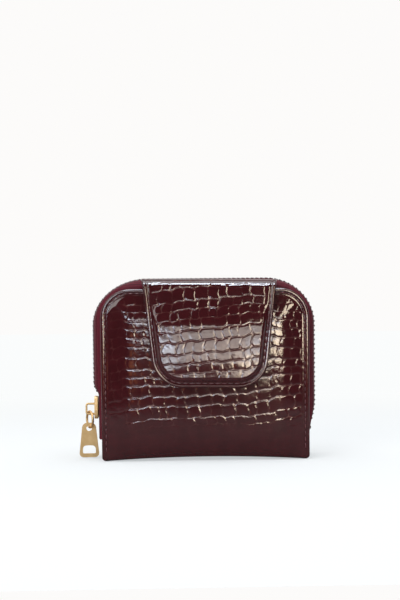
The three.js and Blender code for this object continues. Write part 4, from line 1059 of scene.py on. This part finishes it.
# Boards: dyed grey card inside the covers, within the line of the zip's seam
board = speckled("dyed_board", 800, 6, (0.10, 0.085, 0.075), (0.22, 0.19, 0.165), 0.4, 0.0001, 0.9)
for node in ("front_board", "rear_board"):
    shell = frame["nodes"][node].data
    shell.materials.clear()
    shell.materials.append(board)


# Magnetic snap: a nickelled socket under the cover's padding and a stud inside the flap
def nickel_plate():
    """Nickel plating, brighter and duller in clouds where it is worn."""
    material, tree, shader = new_material("nickel_plate")
    wear = noise(tree, 700)
    feed(tree, shader, {
        "Base Color": ramp(tree, wear, (0.50, 0.49, 0.46), (0.68, 0.66, 0.62)),
        "Roughness": spread(tree, wear, 0.25, 0.45),
        "Metallic": 1.0,
    })
    return material


nickel = nickel_plate()
softened("snap_socket", "magnet_socket", nickel, 0.15)
softened("snap_stud", "magnet_stud", nickel, 0.15)


# Inside of the rear half: the same lining and three stepped card pockets, which face the front
upright_sheet("rear_inner_lining", "rear_lining", -1, 14.0, CLOTH)
for step in (1, 2, 3):
    card_pocket(f"rear_card_pocket_{step}", -1)


# Spine's lining: the same twill, glued into the spine, and arched with it
spine_low, spine_high = box_of("spine_lining")


def spine_floor(across, depth, outward):
    """Places the lining on the spine's arch."""
    return np.stack([across, depth, spine_high[2] + outward + spine_arch(across)], -1)


spine_cloth = thin_sheet(
    "spine_lining_cloth", rectangle(spine_low, spine_high), 1.0, (17, 65, 17), 0.0,
    spine_low[2] - spine_high[2], spine_floor, lining_cloth,
)
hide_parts("spine_lining")
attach(spine_cloth, "spine")


# Coin pocket in the middle: two walls of the lining cloth, joined by a folded side strip, closed on
# top by a fine coil zip between two narrow tapes. It is sewn to the spine's lining at its foot.
COIN_BULGE = 0.9
COIL_PITCH = 1.0
COIL_WIRE = 0.2
COIL_SIDES = 6
COIL_STEPS = 14
for side, facing in (("front", -1), ("rear", 1)):
    upright_sheet("coin_pocket_" + side, "coin_wall_" + side, facing, 3.0, CLOTH, COIN_BULGE, 2.4, True)
gusset("coin_pocket_gusset", "coin_pocket_edge", 0.1, 0.5, 1.2, CLOTH, 2.0, arched=True)


def level_tape(node):
    """Narrow tape lying flat on top of a coin pocket's wall."""
    low, high = box_of(node)

    def place(across, depth, outward):
        return np.stack([across, depth, high[2] + outward + 0 * across], -1)

    piece = thin_sheet(
        node + "_cloth", rectangle(low, high), 0.5, (9, 33, 9), 0.0, low[2] - high[2], place, tape_cloth,
    )
    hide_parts(node)
    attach(piece, "spine")


level_tape("coin_tape_front")
level_tape("coin_tape_rear")


def coil():
    """Nylon coil: a wire wound round an oval, a turn per pitch, along the pocket's top. The wire's
    section lies in the plane of the winding's own outward direction and the pocket's length."""
    low, high = box_of("coin_zip_chain")
    centre = (low + high) / 2
    turns = int((high[0] - low[0] - 2 * COIL_WIRE) / COIL_PITCH)
    angle = np.linspace(0, 2 * np.pi * turns, turns * COIL_STEPS + 1)[:, None]
    around = np.linspace(0, 2 * np.pi, COIL_SIDES, endpoint=False)[None, :]
    wide, tall = (high[1:] - low[1:]) / 2 - COIL_WIRE
    out = COIL_WIRE * np.cos(around)
    x = low[0] + COIL_WIRE + COIL_PITCH * angle / (2 * np.pi) + COIL_WIRE * np.sin(around)
    y = centre[1] + (wide + out) * np.cos(angle)
    z = centre[2] + (tall + out) * np.sin(angle)
    return tubes("coin_zip_coil", np.stack([x, y, z], -1)[None], resin)


coin_coil = coil()
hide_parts("coin_zip_chain")
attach(coin_coil, "spine")
softened("coin_slider_casting", "coin_slider", gold, 0.15)
softened("coin_pull_casting", "coin_pull", gold, 0.15)


# Floor: a wide pale sheet. It shows nearly white to the camera and to glossy surfaces, and keeps
# the wallet's soft shadow. It isn't part of the wallet.
FLOOR_REACH = 4000.0
FLOOR_FRONT = -300.0


def fade(tree, value, low, high):
    """Smooth step from 0 to 1 over a range of a value."""
    inputs = {"Value": value, "From Min": low, "From Max": high}
    return add_node(tree, "MapRange", inputs, "Result", interpolation_type="SMOOTHSTEP")


def pale_floor():
    """Plain floor for scattered light. The camera and glossy surfaces see a darker one with a glow
    of its own, which fades into an even haze far away."""
    material, tree, shader = new_material("pale_floor")
    tree.nodes.remove(shader)
    to_camera = add_node(tree, "LightPath", output="Is Camera Ray")
    to_gloss = add_node(tree, "LightPath", output="Is Glossy Ray")
    plain = add_node(tree, "BsdfDiffuse", {"Color": (0.80, 0.80, 0.80, 1)})
    shaded = add_node(tree, "BsdfDiffuse", {"Color": spread(tree, to_camera, 0.22, 0.34)})
    strength = spread(tree, to_camera, 0.08, 0.53)
    glow = add_node(tree, "Emission", {"Color": (0.93, 0.975, 1.0, 1), "Strength": strength})
    haze = add_node(tree, "Emission", {"Color": (0.96, 0.975, 0.975, 1)})
    place = add_node(tree, "TexCoord", output="Object")
    far = fade(tree, add_node(tree, "VectorMath", {0: place}, "Value", operation="LENGTH"), 0.12, 0.5)
    both = add_node(tree, "AddShader", {0: shaded, 1: glow})
    fading = add_node(tree, "MixShader", {"Fac": far, 1: both, 2: haze})
    seen = maths(tree, "MAXIMUM", to_camera, to_gloss)
    choice = add_node(tree, "MixShader", {"Fac": seen, 1: plain, 2: fading})
    feed(tree, tree.nodes["Material Output"], {"Surface": choice})
    return material


floor_corners = rectangle((-FLOOR_REACH, FLOOR_FRONT), (FLOOR_REACH, FLOOR_REACH))
floor = add_mesh("floor", [(x, y, 0) for x, y in floor_corners], [np.array([[0, 3, 2, 1]])], pale_floor())


# World: a white wall behind the wallet, and a dim room in front of it, which only the reflections
# show. The camera sees white all round.
world = bpy.data.worlds.new("studio")
bpy.context.scene.world = world
world.use_nodes = True
tree = world.node_tree
direction = add_node(tree, "TexCoord", output="Generated")
backwards = add_node(tree, "SeparateXYZ", {"Vector": direction}, "Y")
to_camera = add_node(tree, "LightPath", output="Is Camera Ray")
white = maths(tree, "MAXIMUM", fade(tree, backwards, -0.15, 0.25), to_camera)
room = mixed(tree, white, (0.10, 0.094, 0.094, 1), (0.975, 0.965, 0.955, 1))
feed(tree, tree.nodes["Background"], {"Color": room})


# Lamps: a large soft sky above the wallet and a weak fill from the left, which light everything
WALLET_MIDDLE = (0, 0, 0.05)


def softbox(name, place, target, size, power, tint):
    lamp_data = bpy.data.lights.new(name, "AREA")
    lamp_data.shape = "RECTANGLE"
    lamp_data.size, lamp_data.size_y = size
    lamp_data.energy = power
    lamp_data.color = tint
    lamp = bpy.data.objects.new(name, lamp_data)
    bpy.context.scene.collection.objects.link(lamp)
    aimed = (Vector(target) - Vector(place)).to_track_quat("-Z", "Y").to_matrix().to_4x4()
    lamp.matrix_world = Matrix.Translation(place) @ aimed
    lamp.visible_camera = False
    return lamp


softbox("sky", (0.0, -0.25, 1.1), WALLET_MIDDLE, (1.3, 0.8), 14.0, (0.93, 0.97, 1.0))
softbox("fill", (-0.7, -1.2, 0.7), WALLET_MIDDLE, (0.8, 0.8), 9.0, (1.0, 0.98, 0.95))


# Windows of the room in front, which only the leather shows, and a pale card that only the metal shows
WINDOW_DISTANCE = 1.4


def window(name, azimuths, elevations, radiance, tint, state="EXCLUDE"):
    """Lamp that fills a range of directions, in degrees from straight in front, seen from the wallet.
    It leaves out the metal pieces, or with the state INCLUDE lights nothing but them."""
    middle = np.radians(np.mean([azimuths, elevations], axis=1))
    size = 2 * WINDOW_DISTANCE * np.tan(np.radians(np.diff([azimuths, elevations]).ravel() / 2))
    place = Vector(WALLET_MIDDLE) + WINDOW_DISTANCE * direction_of(*middle)
    power = radiance * math.pi * size[0] * size[1]
    lamp = softbox(name, place, WALLET_MIDDLE, [float(side) for side in size], float(power), tint)
    lamp.visible_diffuse = False
    group = bpy.data.collections.new(name + "_pieces")
    for piece in metal_pieces:
        group.objects.link(piece)
    for member in group.collection_objects:
        member.light_linking.link_state = state
    lamp.light_linking.receiver_collection = group


metal_pieces = [
    piece for piece in bpy.data.objects if piece.type == "MESH" and gold.name in piece.data.materials
]
window("front_window", (-3, 15), (4.6, 8), 7.0, (1.0, 0.92, 0.84))
window("first_pane", (-6, -0.6), (0.8, 4.0), 14.0, (0.90, 0.94, 1.0))
window("second_pane", (0.4, 3.0), (0.8, 4.0), 11.0, (1.0, 0.88, 0.78))
window("third_pane", (3.8, 6.6), (0.8, 4.0), 13.0, (1.0, 0.88, 0.78))
window("fourth_pane", (7.4, 15), (0.8, 4.0), 13.0, (0.94, 0.95, 1.0))
window("blue_window", (-15, -5), (3.0, 5.5), 26.0, (0.76, 0.85, 1.0))
window("right_window", (6, 19), (-1.8, 1.2), 26.0, (1.0, 0.82, 0.60))
window("upper_right_window", (12, 22), (7, 19), 18.0, (1.0, 0.85, 0.64))
window("amber_lamp", (-13, -4), (-4.0, -1.8), 2.9, (1.0, 0.33, 0.12))
window("high_window", (-14, 14), (47, 62), 34.0, (0.80, 0.89, 1.0))
window("card", (-40, 70), (-7, 14), 0.8, (1.0, 0.98, 0.94), "INCLUDE")

bpy.context.scene.view_settings.view_transform = "Standard"
